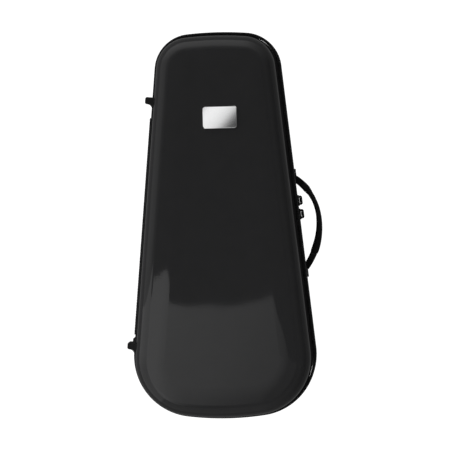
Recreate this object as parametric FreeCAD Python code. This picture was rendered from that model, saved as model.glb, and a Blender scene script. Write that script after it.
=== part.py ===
import FreeCAD, Part
import math
import os

V = FreeCAD.Vector
UP = V(0, 0, 1)

# Whole case, measured over the rim binding
# X points to the handle side, Y to the narrow end, Z from the flat back to the lid
case_length = 554.0
case_width = 262.5
base_depth = 84.0
lid_depth = 76.0
narrow_crown_radius = 477.0
narrow_corner_radius = 52.6
wide_crown_radius = 411.0
wide_corner_radius = 87.3
side_taper_deg = 5.68

# Moulded shells
shell_wall = 3.0
wall_draft_deg = 3.0
rim_land = 14.0
face_edge_radius = 22.0
dome_border = 50.0
dome_slope_deg = 7.0

# Fits
fit_gap = 0.2
soft_gap = 0.3
half_parting = 0.15
pin_clearance = 0.1
overrun = 5.0

# Rim, with depths counted from the parting plane
binding_proud = 4.5
binding_height = 8.5
binding_round = 2.4
binding_lip_round = 0.8
groove_half = 4.5
tape_thickness = 1.0
tape_height = 10.0
chain_thickness = 2.0
chain_height = 2.25
chain_round = 0.7
trim_web = 1.15
trim_leg = 2.0
trim_depth = 6.0

# Cloth hinge on the left rim and the ends of the zip
hinge_narrow_from_end = 120.0
hinge_wide_from_end = 123.0
leaf_thickness = 1.3
leaf_height = 12.0
leaf_round = 0.5
stop_length = 9.0
stop_round = 0.9

# Zip sliders and their pulls
slider_upper_y = 33.5
slider_lower_y = 14.0
slider_length = 15.5
slider_nose_height = 11.0
slider_tail_height = 7.6
slider_round = 1.6
slider_plate = 1.6
slider_flange = 1.5
slider_hook = 0.8
ear_thickness = 3.3
ear_slope_round = 3.0
ear_gap = 6.8
ear_height = 5.0
pull_pin_radius = 1.0
pull_pin_out = 4.4
pull_eye_radius = 2.1
pull_thickness = 1.8
pull_length = 22.0
pull_neck_width = 4.6
pull_width = 8.4
pull_neck_length = 8.0
pull_hole_radius = 1.7

# Rubber feet on the left side, the same on the base and on the lid
foot_upper_from_end = 90.8
foot_lower_from_end = 115.2
foot_from_parting = 38.0
foot_reach = 6.8
foot_tip_length = 10.2
foot_tip_round = 2.8
foot_flare_radius = 7.0
foot_toe = 0.8
foot_width = 20.0
foot_bevel = 1.5
screw_radius = 2.0
screw_head_radius = 3.6
screw_head_height = 2.2

# Carrying handle on the right side of the base
handle_apex_y = 6.0
handle_z = 38.0
handle_pivot_out = -2.2
handle_bow = 27.6
handle_upper_radius = 76.0
handle_lower_radius = 106.0
strap_thickness = 7.0
strap_half_width = 12.0
strap_end_half_width = 3.2
strap_bevel = 2.0
cap_wall = 1.4
cap_bevel = 2.0
cap_floor = 1.6
cap_neck_length = 13.5
cap_collar_length = 11.0
barrel_radius = 2.8
barrel_length = 12.0
barrel_overlap = 3.0
trunnion_radius = 1.4
trunnion_length = 8.0
ear_width = 4.7
bracket_thickness = 2.4
bracket_length = 18.0
bracket_half_height = 13.0
bracket_round = 3.0
bracket_screw_spacing = 18.0

# Plate on the lid, left bare
plate_length = 48.5
plate_height = 31.0
plate_thickness = 2.0
plate_bevel = 0.8
plate_round = 4.0
plate_centre_x = 5.4
plate_from_end = 121.7
plate_pad_thickness = 0.6
plate_pad_margin = 1.5

# Hollows of the nest, laid out for a trumpet on its side, its bell towards the wide end
bell_x = -20.0
bell_rim_from_end = 35.0
bell_rim_radius = 66.0
bell_rim_land = 8.0
bell_flare_length = 230.0
bell_flare_start = 28.2
bell_flare_power = 0.7
flare_steps_share = (0.0, 0.04, 0.12, 0.28, 0.55, 1.0)
bell_tube_run = 400.0
valve_left = -86.0
valve_right = 80.0
valve_from_rim = 213.0
valve_run = 104.0
valve_depth = 46.0
valve_round = 14.0
channel_depth = 28.0
channel_width = 28.0
loop_right = 72.0
loop_round = 30.0
island_round = 10.0
slide_loop_reach = 70.0
crook_loop_reach = 86.0
leadpipe_from_end = 33.0
scoop_x = -62.0
scoop_radius = 24.0
scoop_rise = 8.0
scoop_past_crook_end = 36.0
scoop_past_slide_end = 46.0

# Holder for spare mouthpieces
holder_from_side = 61.25
holder_width = 46.0
holder_length = 62.0
holder_from_end = 52.0
holder_floor = 17.0
holder_round = 9.0
mouth_radius = 14.0
mouth_foot_radius = 7.5
mouth_depth = 52.0

# Accessory box beside the bell
tray_from_side = 27.25
tray_width = 52.0
tray_length = 112.0
tray_from_end = 68.0
tray_floor = 16.0
tray_wall = 2.0
tray_round = 8.0
tray_lid_thickness = 4.0
tray_lid_gap = 0.5
tab_width = 14.0
tab_length = 16.0
tab_thickness = 1.0
tray_tape_width = 11.0
tray_tape_thickness = 0.6

# Padding of the lid
lining_thickness = 9.0
pad_from_side = 73.25
pad_length = 90.0
pad_lowest = 16.0
pad_round = 14.0
pad_edge_round = 8.0

# Places worked out from the sizes above
half_length = case_length / 2
half_width = case_width / 2
taper = math.radians(side_taper_deg)
side_normal = V(math.cos(taper), math.sin(taper), 0)
side_along = V(-math.sin(taper), math.cos(taper), 0)
binding_thickness = binding_proud - tape_thickness - 2 * fit_gap
shell_edge = half_parting + trim_web + fit_gap
inner_face = binding_proud + shell_wall
padding_start = trim_depth + soft_gap
nest_top = base_depth - padding_start
hinge_narrow_y = half_length - hinge_narrow_from_end
hinge_wide_y = hinge_wide_from_end - half_length
foot_upper_y = half_length - foot_upper_from_end
foot_lower_y = foot_lower_from_end - half_length
plate_centre_y = half_length - plate_from_end
bell_rim_y = bell_rim_from_end - half_length
bell_tube_end_y = bell_rim_y + bell_tube_run
valve_low_y = bell_rim_y + valve_from_rim
valve_high_y = valve_low_y + valve_run
slide_loop_y = valve_low_y - slide_loop_reach
crook_loop_y = valve_high_y + crook_loop_reach
leadpipe_end_y = half_length - leadpipe_from_end
holder_right = half_width - holder_from_side
holder_left = holder_right - holder_width
holder_high_y = half_length - holder_from_end
holder_low_y = holder_high_y - holder_length
tray_right = half_width - tray_from_side
tray_left = tray_right - tray_width
tray_low_y = tray_from_end - half_length
tray_high_y = tray_low_y + tray_length
pad_half_width = half_width - pad_from_side

# Centres of the outline's arcs, worked out so that every run meets the next smoothly
wide_crown_centre = V(0, wide_crown_radius - half_length, 0)
wide_corner_x = half_width - wide_corner_radius
wide_corner_drop = math.sqrt((wide_crown_radius - wide_corner_radius) ** 2 - wide_corner_x ** 2)
wide_corner_centre = V(wide_corner_x, wide_crown_centre.y - wide_corner_drop, 0)
narrow_crown_centre = V(0, half_length - narrow_crown_radius, 0)
side_start = wide_corner_centre + side_normal * wide_corner_radius
corner_line = side_start - side_normal * narrow_corner_radius
to_line = corner_line - narrow_crown_centre
line_offset = to_line.dot(side_along)
corner_reach = narrow_crown_radius - narrow_corner_radius
line_run = math.sqrt(line_offset ** 2 - to_line.dot(to_line) + corner_reach ** 2) - line_offset
narrow_corner_centre = corner_line + side_along * line_run
side_end = narrow_corner_centre + side_normal * narrow_corner_radius
wide_turn = wide_corner_centre - wide_crown_centre
wide_angle = math.atan2(wide_turn.y, wide_turn.x)
narrow_turn = narrow_corner_centre - narrow_crown_centre
narrow_angle = math.atan2(narrow_turn.y, narrow_turn.x)


def mirrored_point(point):
    return V(-point.x, point.y, point.z)


def outline_runs():
    """The outline as arcs (centre, radius, start, end) and straight sides (start, end), anticlockwise."""
    left_wide = mirrored_point(wide_corner_centre)
    left_narrow = mirrored_point(narrow_corner_centre)
    half_turn = math.pi
    return [
        ("arc", wide_corner_centre, wide_corner_radius, wide_angle, taper),
        ("side", side_start, side_end, taper, taper),
        ("arc", narrow_corner_centre, narrow_corner_radius, taper, narrow_angle),
        ("arc", narrow_crown_centre, narrow_crown_radius, narrow_angle, half_turn - narrow_angle),
        ("arc", left_narrow, narrow_corner_radius, half_turn - narrow_angle, half_turn - taper),
        ("side", mirrored_point(side_end), mirrored_point(side_start), half_turn - taper, half_turn - taper),
        ("arc", left_wide, wide_corner_radius, half_turn - taper, half_turn - wide_angle),
        ("arc", wide_crown_centre, wide_crown_radius, half_turn - wide_angle, 2 * half_turn + wide_angle),
    ]


def polar(centre, radius, angle):
    return centre + V(radius * math.cos(angle), radius * math.sin(angle), 0)


def outline(inset, height):
    edges = []
    for kind, first, second, start, end in outline_runs():
        if kind == "arc":
            radius = second - inset
            points = [polar(first, radius, angle) for angle in (start, (start + end) / 2, end)]
            edge = Part.Arc(*points).toShape()
        else:
            step = polar(V(0, 0, 0), inset, start)
            edge = Part.LineSegment(first - step, second - step).toShape()
        edge.translate(UP * height)
        edges.append(edge)
    return Part.Wire(edges)


def plan_block(inset, low, high):
    return Part.Face(outline(inset, low)).extrude(UP * (high - low))


def carried(section):
    """Carries a section round the outline. The section lies in XZ, with X = 0 on the rim line."""
    pieces = []
    for kind, first, second, start, end in outline_runs():
        face = section.copy()
        face.rotate(V(0, 0, 0), UP, math.degrees(start))
        if kind == "arc":
            face.translate(polar(first, second, start))
            pieces.append(face.revolve(first, UP, math.degrees(end - start)))
        else:
            face.translate(first)
            pieces.append(face.extrude(second - first))
    return pieces[0].multiFuse(pieces[1:]).removeSplitter()


def rounded_wire(corners):
    """Closed wire through (point, radius) corners, each rounded to its radius."""
    count = len(corners)
    starts = []
    ends = []
    arcs = []
    for index, (point, radius) in enumerate(corners):
        back = (corners[index - 1][0] - point).normalize()
        ahead = (corners[(index + 1) % count][0] - point).normalize()
        if radius == 0:
            starts.append(point)
            ends.append(point)
            arcs.append(None)
            continue
        half_angle = back.getAngle(ahead) / 2
        tangent = radius / math.tan(half_angle)
        inward = (back + ahead).normalize()
        middle = point + inward * (radius / math.sin(half_angle) - radius)
        starts.append(point + back * tangent)
        ends.append(point + ahead * tangent)
        arcs.append(Part.Arc(starts[-1], middle, ends[-1]).toShape())
    edges = []
    for index in range(count):
        if arcs[index]:
            edges.append(arcs[index])
        edges.append(Part.LineSegment(ends[index], starts[(index + 1) % count]).toShape())
    return Part.Wire(edges)


def rounded_prism(corners, direction):
    return Part.Face(rounded_wire(corners)).extrude(direction)


def rounded_block(left, right, low_y, high_y, low, high, radius):
    corners = [(V(x, y, low), radius) for x, y in
               ((left, low_y), (right, low_y), (right, high_y), (left, high_y))]
    return rounded_prism(corners, UP * (high - low))


def block(left, right, low_y, high_y, low, high):
    return Part.makeBox(right - left, high_y - low_y, high - low, V(left, low_y, low))


def rod(start, direction, radius, length):
    return Part.makeCylinder(radius, length, start, direction)


def dome_curve(inset, start, height, edge_radius):
    """Edges of the moulded section: rim land, drafted wall, face edge and dome, from rim to centre."""
    draft = math.radians(wall_draft_deg)
    slope = math.radians(dome_slope_deg)
    turn_across = edge_radius * (math.cos(draft) - math.sin(slope))
    turn_up = edge_radius * (math.cos(slope) - math.sin(draft))
    leaned = (height - turn_up - rim_land) * math.tan(draft)
    flat = 1 - math.cos(slope)
    dome_radius = (dome_border - inset - turn_across - leaned) / (math.sin(slope) - flat * math.tan(draft))
    dome_start = V(-dome_border + dome_radius * math.sin(slope), 0, height - dome_radius * flat)
    wall_end = dome_start + V(turn_across, 0, -turn_up)
    edge_centre = wall_end - V(math.cos(draft), 0, math.sin(draft)) * edge_radius
    edge_aim = (math.radians(90) - slope + draft) / 2
    edge_middle = edge_centre + V(math.cos(edge_aim), 0, math.sin(edge_aim)) * edge_radius
    dome_centre = V(-dome_border, 0, height - dome_radius)
    dome_middle = dome_centre + V(math.sin(slope / 2), 0, math.cos(slope / 2)) * dome_radius
    rim_point = V(-inset, 0, start)
    land_point = V(-inset, 0, rim_land)
    top_point = V(-dome_border, 0, height)
    return [
        Part.LineSegment(rim_point, land_point).toShape(),
        Part.LineSegment(land_point, wall_end).toShape(),
        Part.Arc(wall_end, edge_middle, dome_start).toShape(),
        Part.Arc(dome_start, dome_middle, top_point).toShape(),
    ]


def moulded_form(inset, start, height, edge_radius):
    """Filled form of a moulded half, open side down at start, face up at height."""
    low_point = V(-dome_border, 0, start)
    edges = dome_curve(inset, start, height, edge_radius)
    edges.append(Part.LineSegment(V(-dome_border, 0, height), low_point).toShape())
    edges.append(Part.LineSegment(low_point, V(-inset, 0, start)).toShape())
    ring = carried(Part.Face(Part.Wire(edges)))
    return ring.fuse(plan_block(dome_border, start, height)).removeSplitter().Solids[0]


def to_lid(shape):
    moved = shape.copy()
    moved.translate(UP * base_depth)
    return moved


def to_base(shape):
    moved = shape.mirror(V(0, 0, 0), UP)
    moved.translate(UP * base_depth)
    return moved


def rim_x(y):
    return side_start.x - (y - side_start.y) * math.tan(taper)


def on_right_side(shape, y, height):
    """Places a part whose X points outward, Y along the rim and Z up, with X = 0 on the rim line."""
    moved = shape.copy()
    moved.rotate(V(0, 0, 0), UP, side_taper_deg)
    moved.translate(V(rim_x(y), y, height))
    return moved


def on_left_side(shape, y, height):
    return on_right_side(shape, y, height).mirror(V(0, 0, 0), V(1, 0, 0))


def shell(depth):
    outer = moulded_form(binding_proud, shell_edge, depth, face_edge_radius)
    inner = moulded_form(inner_face, shell_edge - overrun, depth - shell_wall, face_edge_radius - shell_wall)
    return outer.cut(inner)


def outer_form(depth):
    return moulded_form(binding_proud, shell_edge, depth, face_edge_radius)


def binding():
    top = groove_half + binding_height
    section = rounded_wire([
        (V(-binding_thickness, 0, groove_half), 0),
        (V(0, 0, groove_half), binding_lip_round),
        (V(0, 0, top), binding_round),
        (V(-binding_thickness, 0, top), 0),
    ])
    return carried(Part.Face(section))


def edge_trim():
    leg = inner_face + fit_gap
    points = [(binding_proud, half_parting), (binding_proud, half_parting + trim_web),
              (leg, half_parting + trim_web), (leg, trim_depth),
              (leg + trim_leg, trim_depth), (leg + trim_leg, half_parting)]
    section = rounded_wire([(V(-inset, 0, depth), 0) for inset, depth in points])
    return carried(Part.Face(section))


def hinge_window():
    """Space along the left rim where the cloth hinge takes the place of the zip."""
    reach = 2 * binding_proud
    length = (hinge_narrow_y - hinge_wide_y) / math.cos(taper)
    middle = (hinge_narrow_y + hinge_wide_y) / 2
    window = block(-reach, reach, -length / 2, length / 2, -overrun, trim_depth + tape_height)
    return on_left_side(window, middle, 0)


def zip_tape():
    outer = binding_proud - fit_gap - tape_thickness
    low = half_parting + chain_height
    tape = plan_block(outer, low, low + tape_height)
    tape = tape.cut(plan_block(outer + tape_thickness, low - overrun, low + tape_height + overrun))
    return tape.cut(hinge_window())


def zip_chain():
    outer = binding_proud - fit_gap - chain_thickness
    inner = binding_proud - fit_gap
    low = half_parting
    high = half_parting + chain_height
    section = rounded_wire([
        (V(-inner, 0, low), 0), (V(-outer, 0, low), chain_round),
        (V(-outer, 0, high), chain_round), (V(-inner, 0, high), 0),
    ])
    return carried(Part.Face(section)).cut(hinge_window())


def hinge_leaf():
    length = (hinge_narrow_y - hinge_wide_y) / math.cos(taper) - 2 * soft_gap
    middle = (hinge_narrow_y + hinge_wide_y) / 2
    low = fit_gap
    corners = [
        (V(low, -length / 2, half_parting), 0),
        (V(low + leaf_thickness, -length / 2, half_parting), 0),
        (V(low + leaf_thickness, -length / 2, half_parting + leaf_height), leaf_round),
        (V(low, -length / 2, half_parting + leaf_height), 0),
    ]
    return on_left_side(rounded_prism(corners, V(0, length, 0)), middle, 0)


def zip_stops():
    """Two sewn end stops of the zip, inside the ends of the hinge window."""
    stops = []
    deep = binding_proud - fit_gap
    high = groove_half - soft_gap
    for y, share in ((hinge_narrow_y, -1), (hinge_wide_y, 1)):
        start = share * fit_gap
        end = share * (fit_gap + stop_length)
        corners = [(V(-deep, start, half_parting), 0), (V(0, start, half_parting), stop_round),
                   (V(0, end, half_parting), stop_round), (V(-deep, end, half_parting), 0)]
        stops.append(on_left_side(rounded_prism(corners, UP * (high - half_parting)), y, 0))
    return Part.makeCompound(stops)


def slider_body():
    """Slider with its guide flanges in the groove and two ears that hold the pin of the pull."""
    half = slider_length / 2
    nose = slider_nose_height / 2
    tail = slider_tail_height / 2
    inner = soft_gap
    outer = soft_gap + slider_plate
    corners = [(V(inner, -half, -nose), slider_round), (V(inner, half, -tail), slider_round),
               (V(inner, half, tail), slider_round), (V(inner, -half, nose), slider_round)]
    plate = rounded_prism(corners, V(slider_plate, 0, 0))
    flange_near = half_parting + chain_height + soft_gap
    flange_half = half - slider_round
    chain_face = chain_thickness + fit_gap - binding_proud
    upper = block(chain_face + soft_gap, outer, -flange_half, flange_half,
                  flange_near, flange_near + slider_flange)
    lower = block(chain_face - slider_hook, outer, -flange_half, flange_half,
                  -flange_near - slider_flange, -flange_near)
    pieces = [upper, lower]
    for share in (-1, 1):
        near = share * ear_gap / 2
        far = near + share * ear_thickness
        tip = pull_pin_out + pull_eye_radius
        ear = rounded_prism([(V(inner, near, -ear_height / 2), 0), (V(inner, near, ear_height / 2), 0),
                             (V(tip, near, ear_height / 2), pull_eye_radius),
                             (V(tip, near, -ear_height / 2), pull_eye_radius)], V(0, far - near, 0))
        side_view = rounded_prism([(V(inner, near, -ear_height), 0), (V(inner, far, -ear_height), 0),
                                   (V(tip, far, -ear_height), ear_slope_round),
                                   (V(tip, near, -ear_height), 0)], UP * 2 * ear_height)
        pieces.append(ear.common(side_view))
    pin_half = ear_gap / 2 + ear_thickness / 2
    pieces.append(rod(V(pull_pin_out, -pin_half, 0), V(0, 1, 0), pull_pin_radius, 2 * pin_half))
    return plate.multiFuse(pieces).removeSplitter()


def slider_pull():
    """Pull that hangs from the slider's pin, drawn hanging straight down."""
    eye_half = ear_gap / 2 - soft_gap
    eye = rod(V(pull_pin_out, -eye_half, 0), V(0, 1, 0), pull_eye_radius, 2 * eye_half)
    back = pull_pin_out - pull_thickness / 2
    neck = pull_neck_width / 2
    wide = pull_width / 2
    corners = [(V(back, -neck, 0), 0), (V(back, neck, 0), 0),
               (V(back, neck, -pull_neck_length), neck), (V(back, wide, -pull_neck_length - neck), wide),
               (V(back, wide, -pull_length), wide / 2), (V(back, -wide, -pull_length), wide / 2),
               (V(back, -wide, -pull_neck_length - neck), wide), (V(back, -neck, -pull_neck_length), neck)]
    blade = rounded_prism(corners, V(pull_thickness, 0, 0))
    finger_hole = rod(V(back - overrun, 0, wide - pull_length), V(1, 0, 0), pull_hole_radius, 3 * overrun)
    bore = rod(V(pull_pin_out, -overrun - wide, 0), V(0, 1, 0), pull_pin_radius + pin_clearance,
               2 * (overrun + wide))
    return eye.fuse(blade).cut(finger_hole).cut(bore).removeSplitter()


def screw(seat, length):
    """Countersunk screw along X, its head's face at the seat and its tip inside the wall."""
    head = Part.makeCone(screw_radius, screw_head_radius, screw_head_height,
                         seat - V(screw_head_height, 0, 0), V(1, 0, 0))
    shank = rod(seat - V(length, 0, 0), V(1, 0, 0), screw_radius, length - screw_head_height)
    return head.fuse(shank).removeSplitter()


def screw_hole(seat, length):
    head = Part.makeCone(screw_radius + pin_clearance, screw_head_radius + pin_clearance, screw_head_height,
                         seat - V(screw_head_height, 0, 0), V(1, 0, 0))
    mouth = rod(seat, V(1, 0, 0), screw_head_radius + pin_clearance, foot_reach)
    shank = rod(seat - V(length, 0, 0), V(1, 0, 0), screw_radius + pin_clearance, length)
    return head.multiFuse([mouth, shank])


def wall_inset(from_parting):
    """How far inside the rim line the drafted wall stands, at a distance from the parting plane."""
    return binding_proud + (from_parting - rim_land) * math.tan(math.radians(wall_draft_deg))


def foot_seat():
    return V(foot_reach / 2, -foot_tip_length / 2, 0)


def foot_screw_length():
    return foot_reach / 2 + wall_inset(foot_from_parting) + shell_wall / 2


def foot_block():
    """Foot with a square upper side, a rounded tip and a hollow flare below, bevelled all along."""
    root = -wall_inset(foot_from_parting + foot_width / 2) - shell_wall
    flare_start = foot_reach - foot_tip_round - foot_toe
    wall_line = flare_start - foot_flare_radius
    low = -foot_width / 2
    flare_centre = V(wall_line + foot_flare_radius, -foot_tip_length - foot_flare_radius, low)
    flare_middle = flare_centre + V(-math.sqrt(0.5), math.sqrt(0.5), 0) * foot_flare_radius
    points = [V(root, 0, low), V(foot_reach - foot_tip_round, 0, low),
              V(foot_reach, -foot_tip_round, low), V(foot_reach, foot_tip_round - foot_tip_length, low),
              V(foot_reach - foot_tip_round, -foot_tip_length, low), V(flare_start, -foot_tip_length, low),
              V(wall_line, -foot_tip_length - foot_flare_radius, low),
              V(root, -foot_tip_length - foot_flare_radius, low)]
    bend = foot_tip_round * (1 - math.sqrt(0.5))
    tip_upper = V(foot_reach - bend, -bend, low)
    tip_lower = V(foot_reach - bend, bend - foot_tip_length, low)
    edges = [
        Part.LineSegment(points[0], points[1]).toShape(),
        Part.Arc(points[1], tip_upper, points[2]).toShape(),
        Part.LineSegment(points[2], points[3]).toShape(),
        Part.Arc(points[3], tip_lower, points[4]).toShape(),
        Part.LineSegment(points[4], points[5]).toShape(),
        Part.Arc(points[5], flare_middle, points[6]).toShape(),
        Part.LineSegment(points[6], points[7]).toShape(),
        Part.LineSegment(points[7], points[0]).toShape(),
    ]
    body = Part.Face(Part.Wire(edges)).extrude(UP * foot_width)
    long_edges = [edge for edge in body.Edges
                  if abs(abs(edge.CenterOfMass.z) - foot_width / 2) < fit_gap
                  and edge.BoundBox.XMax > root + fit_gap and edge.BoundBox.YLength < 2 * foot_flare_radius]
    return body.makeChamfer(foot_bevel, long_edges)


def foot(y, form):
    """Foot seated on the drafted wall of one half, which is drawn with the parting plane at zero."""
    body = foot_block().cut(screw_hole(foot_seat(), foot_screw_length() + overrun))
    return on_left_side(body, y, foot_from_parting).cut(form).Solids[0]


def foot_screws():
    whole = screw(foot_seat(), foot_screw_length())
    screws = [on_left_side(whole, y, foot_from_parting) for y in (foot_upper_y, foot_lower_y)]
    return Part.makeCompound(screws)


def foot_screw_holes():
    hole = screw_hole(foot_seat(), foot_screw_length() + 2 * overrun)
    return [on_left_side(hole, y, foot_from_parting) for y in (foot_upper_y, foot_lower_y)]


def strap_run(radius):
    """Half span of the strap's bow and its angle, from the apex to the pivot line."""
    angle = math.acos(1 - handle_bow / radius)
    return radius * math.sin(angle), angle


def strap_band(thickness, half_width, side, radius, start, end):
    """One arc of the strap, between two angles from the apex, as a solid."""
    centre = V(handle_pivot_out + handle_bow - radius, 0, -half_width)
    outer = radius + thickness / 2
    inner = radius - thickness / 2
    middle = (start + end) / 2
    rim = [polar(centre, outer, side * angle) for angle in (start, middle, end)]
    bow = [polar(centre, inner, side * angle) for angle in (end, middle, start)]
    edges = [Part.Arc(*rim).toShape(), Part.LineSegment(rim[2], bow[0]).toShape(),
             Part.Arc(*bow).toShape(), Part.LineSegment(bow[2], rim[0]).toShape()]
    return Part.Face(Part.Wire(edges)).extrude(UP * 2 * half_width)


def barrel_start(radius):
    return strap_run(radius)[0] - barrel_overlap


def barrel(radius, side):
    start = V(handle_pivot_out, side * barrel_start(radius), 0)
    return rod(start, V(0, side, 0), barrel_radius, barrel_length)


def strap_side_view(grown):
    """Outline of the strap seen from outside: widest at the middle, drawn in at both ends."""
    upper = strap_run(handle_upper_radius)[0]
    lower = -strap_run(handle_lower_radius)[0]
    middle = (upper + lower) / 2
    end = strap_end_half_width + grown
    wide = strap_half_width + grown
    start = -overrun
    points = [V(start, lower, -end), V(start, middle, -wide), V(start, upper, -end),
              V(start, upper, end), V(start, middle, wide), V(start, lower, end)]
    edges = [Part.Arc(points[0], points[1], points[2]).toShape(),
             Part.LineSegment(points[2], points[3]).toShape(),
             Part.Arc(points[3], points[4], points[5]).toShape(),
             Part.LineSegment(points[5], points[0]).toShape()]
    reach = handle_pivot_out + handle_bow + strap_thickness + 2 * overrun
    return Part.Face(Part.Wire(edges)).extrude(V(reach, 0, 0))


def strap_solid(grown, from_pivot):
    """The strap, grown by a margin, whose ends stop at a distance from the pivot line along the bow."""
    bands = []
    for side, radius in ((1, handle_upper_radius), (-1, handle_lower_radius)):
        end = strap_run(radius)[1] - from_pivot / radius
        bands.append(strap_band(strap_thickness + 2 * grown, strap_half_width + overrun,
                                side, radius, 0, end))
    whole = bands[0].fuse(bands[1]).removeSplitter()
    return whole.common(strap_side_view(grown))


def handle_strap():
    strap = strap_solid(0, cap_neck_length + fit_gap)
    long_edges = [edge for edge in strap.Edges if edge.Length > 4 * strap_thickness]
    return strap.makeChamfer(strap_bevel, long_edges)


def handle_end(radius, side):
    """End cap: a collar round the strap's end, a slim neck and a barrel that turns on the trunnion."""
    angle = strap_run(radius)[1]
    thickness = strap_thickness + 2 * cap_wall
    neck_end = angle - cap_neck_length / radius
    collar = strap_band(thickness, strap_half_width + overrun, side, radius,
                        neck_end - cap_collar_length / radius, neck_end + cap_floor / radius)
    collar = collar.common(strap_side_view(cap_wall))
    long_edges = [edge for edge in collar.Edges
                  if fit_gap < edge.BoundBox.ZLength < cap_collar_length / 2]
    collar = collar.makeChamfer(cap_bevel, long_edges).cut(strap_solid(fit_gap, cap_neck_length))
    neck = strap_band(thickness, barrel_radius, side, radius, neck_end, angle)
    behind = block(-overrun - handle_bow, handle_pivot_out - trunnion_radius,
                   -case_length, case_length, -case_width, case_width)
    cap = collar.multiFuse([neck.cut(behind), barrel(radius, side)]).removeSplitter()
    bore_start = barrel_start(radius) + barrel_length - trunnion_length - fit_gap
    bore = rod(V(handle_pivot_out, side * bore_start, 0), V(0, side, 0),
               trunnion_radius + pin_clearance, trunnion_length + overrun)
    return max(cap.cut(bore).Solids, key=lambda solid: solid.Volume)


def bracket_start(radius):
    return barrel_start(radius) + barrel_length + soft_gap


def bracket_screw_seats(radius, side):
    y = side * (bracket_start(radius) + bracket_length / 2)
    out = bracket_thickness - wall_inset(base_depth - handle_z)
    return [V(out, y, share * bracket_screw_spacing / 2) for share in (-1, 1)]


def bracket(radius, side, form):
    """Bracket with a foot plate on the wall, an ear and the trunnion that carries the handle's end."""
    start = bracket_start(radius)
    root = -wall_inset(base_depth - handle_z + bracket_half_height) - shell_wall
    face = bracket_thickness - wall_inset(base_depth - handle_z)
    first = side * start
    last = side * (start + bracket_length)
    corners = [(V(root, first, -bracket_half_height), bracket_round),
               (V(root, last, -bracket_half_height), bracket_round),
               (V(root, last, bracket_half_height), bracket_round),
               (V(root, first, bracket_half_height), bracket_round)]
    plate = rounded_prism(corners, V(face - root, 0, 0))
    ear_low = min(first, first + side * ear_width)
    ear_web = block(root, handle_pivot_out, ear_low, ear_low + ear_width, -barrel_radius, barrel_radius)
    ear_round = rod(V(handle_pivot_out, first, 0), V(0, side, 0), barrel_radius, ear_width)
    pin_start = V(handle_pivot_out, side * (start + ear_width / 2), 0)
    pin = rod(pin_start, V(0, -side, 0), trunnion_radius, ear_width / 2 + trunnion_length)
    whole = plate.multiFuse([ear_web, ear_round, pin]).removeSplitter()
    for seat in bracket_screw_seats(radius, side):
        whole = whole.cut(screw_hole(seat, bracket_screw_length() + overrun))
    placed = on_right_side(whole, handle_apex_y, handle_z).cut(form)
    return max(placed.Solids, key=lambda solid: solid.Volume)


def bracket_screw_length():
    return bracket_thickness + shell_wall / 2


def bracket_screws():
    screws = []
    for side, radius in ((1, handle_upper_radius), (-1, handle_lower_radius)):
        for seat in bracket_screw_seats(radius, side):
            screws.append(on_right_side(screw(seat, bracket_screw_length()), handle_apex_y, handle_z))
    return Part.makeCompound(screws)


def bracket_screw_holes():
    holes = []
    for side, radius in ((1, handle_upper_radius), (-1, handle_lower_radius)):
        for seat in bracket_screw_seats(radius, side):
            hole = screw_hole(seat, bracket_screw_length() + 2 * overrun)
            holes.append(on_right_side(hole, handle_apex_y, handle_z))
    return holes


def plate_outline(margin, height):
    half_x = plate_length / 2 - margin
    half_y = plate_height / 2 - margin
    radius = plate_round - margin / 2
    centre = V(plate_centre_x, plate_centre_y, height)
    return rounded_wire([(centre + V(share_x * half_x, share_y * half_y, 0), radius)
                         for share_x, share_y in ((-1, -1), (1, -1), (1, 1), (-1, 1))])


def name_plate():
    low = base_depth + lid_depth + plate_pad_thickness
    bevel = low + plate_thickness - plate_bevel
    top = low + plate_thickness
    body = Part.Face(plate_outline(0, low)).extrude(UP * (bevel - low))
    crown = Part.makeLoft([plate_outline(0, bevel), plate_outline(plate_bevel, top)], True, True)
    return body.fuse(crown).removeSplitter()


def name_plate_pad():
    low = base_depth + lid_depth
    return Part.Face(plate_outline(plate_pad_margin, low)).extrude(UP * plate_pad_thickness)


def flare_radius(distance):
    """Radius of the bell hollow, which falls as a power of the distance behind the rim."""
    return bell_rim_radius * ((distance + bell_flare_start) / bell_flare_start) ** -bell_flare_power


def bell_hollow():
    mouth_end = bell_rim_y + bell_rim_land
    steps = [bell_flare_length * share for share in flare_steps_share]
    flare_points = [V(bell_x + flare_radius(step), mouth_end + step, base_depth) for step in steps]
    flare = Part.BSplineCurve()
    flare.interpolate(flare_points)
    axis_low = V(bell_x, bell_rim_y, base_depth)
    axis_high = V(bell_x, bell_tube_end_y, base_depth)
    rim_point = V(bell_x + bell_rim_radius, bell_rim_y, base_depth)
    throat_end = V(flare_points[-1].x, bell_tube_end_y, base_depth)
    edges = [Part.LineSegment(axis_low, rim_point).toShape(),
             Part.LineSegment(rim_point, flare_points[0]).toShape(),
             flare.toShape(),
             Part.LineSegment(flare_points[-1], throat_end).toShape(),
             Part.LineSegment(throat_end, axis_high).toShape(),
             Part.LineSegment(axis_high, axis_low).toShape()]
    return Part.Face(Part.Wire(edges)).revolve(axis_low, V(0, 1, 0), 360)


def loop_channel(far_y, near_y):
    """Round-ended loop for a bow of tubing, with an island left standing inside it."""
    floor = base_depth - channel_depth
    top = base_depth + overrun
    left = bell_x - channel_width / 2
    low_y = min(far_y, near_y)
    high_y = max(far_y, near_y)
    outer = rounded_block(left, loop_right, low_y, high_y, floor, top, loop_round)
    square = near_y - loop_round if near_y > far_y else near_y
    square_end = square + loop_round
    joint = block(left, loop_right, square, square_end, floor, top)
    island_far = far_y + channel_width if near_y > far_y else far_y - channel_width
    island_near = near_y + overrun if near_y > far_y else near_y - overrun
    island = rounded_block(left + channel_width, loop_right - channel_width,
                           min(island_far, island_near), max(island_far, island_near),
                           floor - overrun, top + overrun, island_round)
    return outer.fuse(joint).cut(island)


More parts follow.
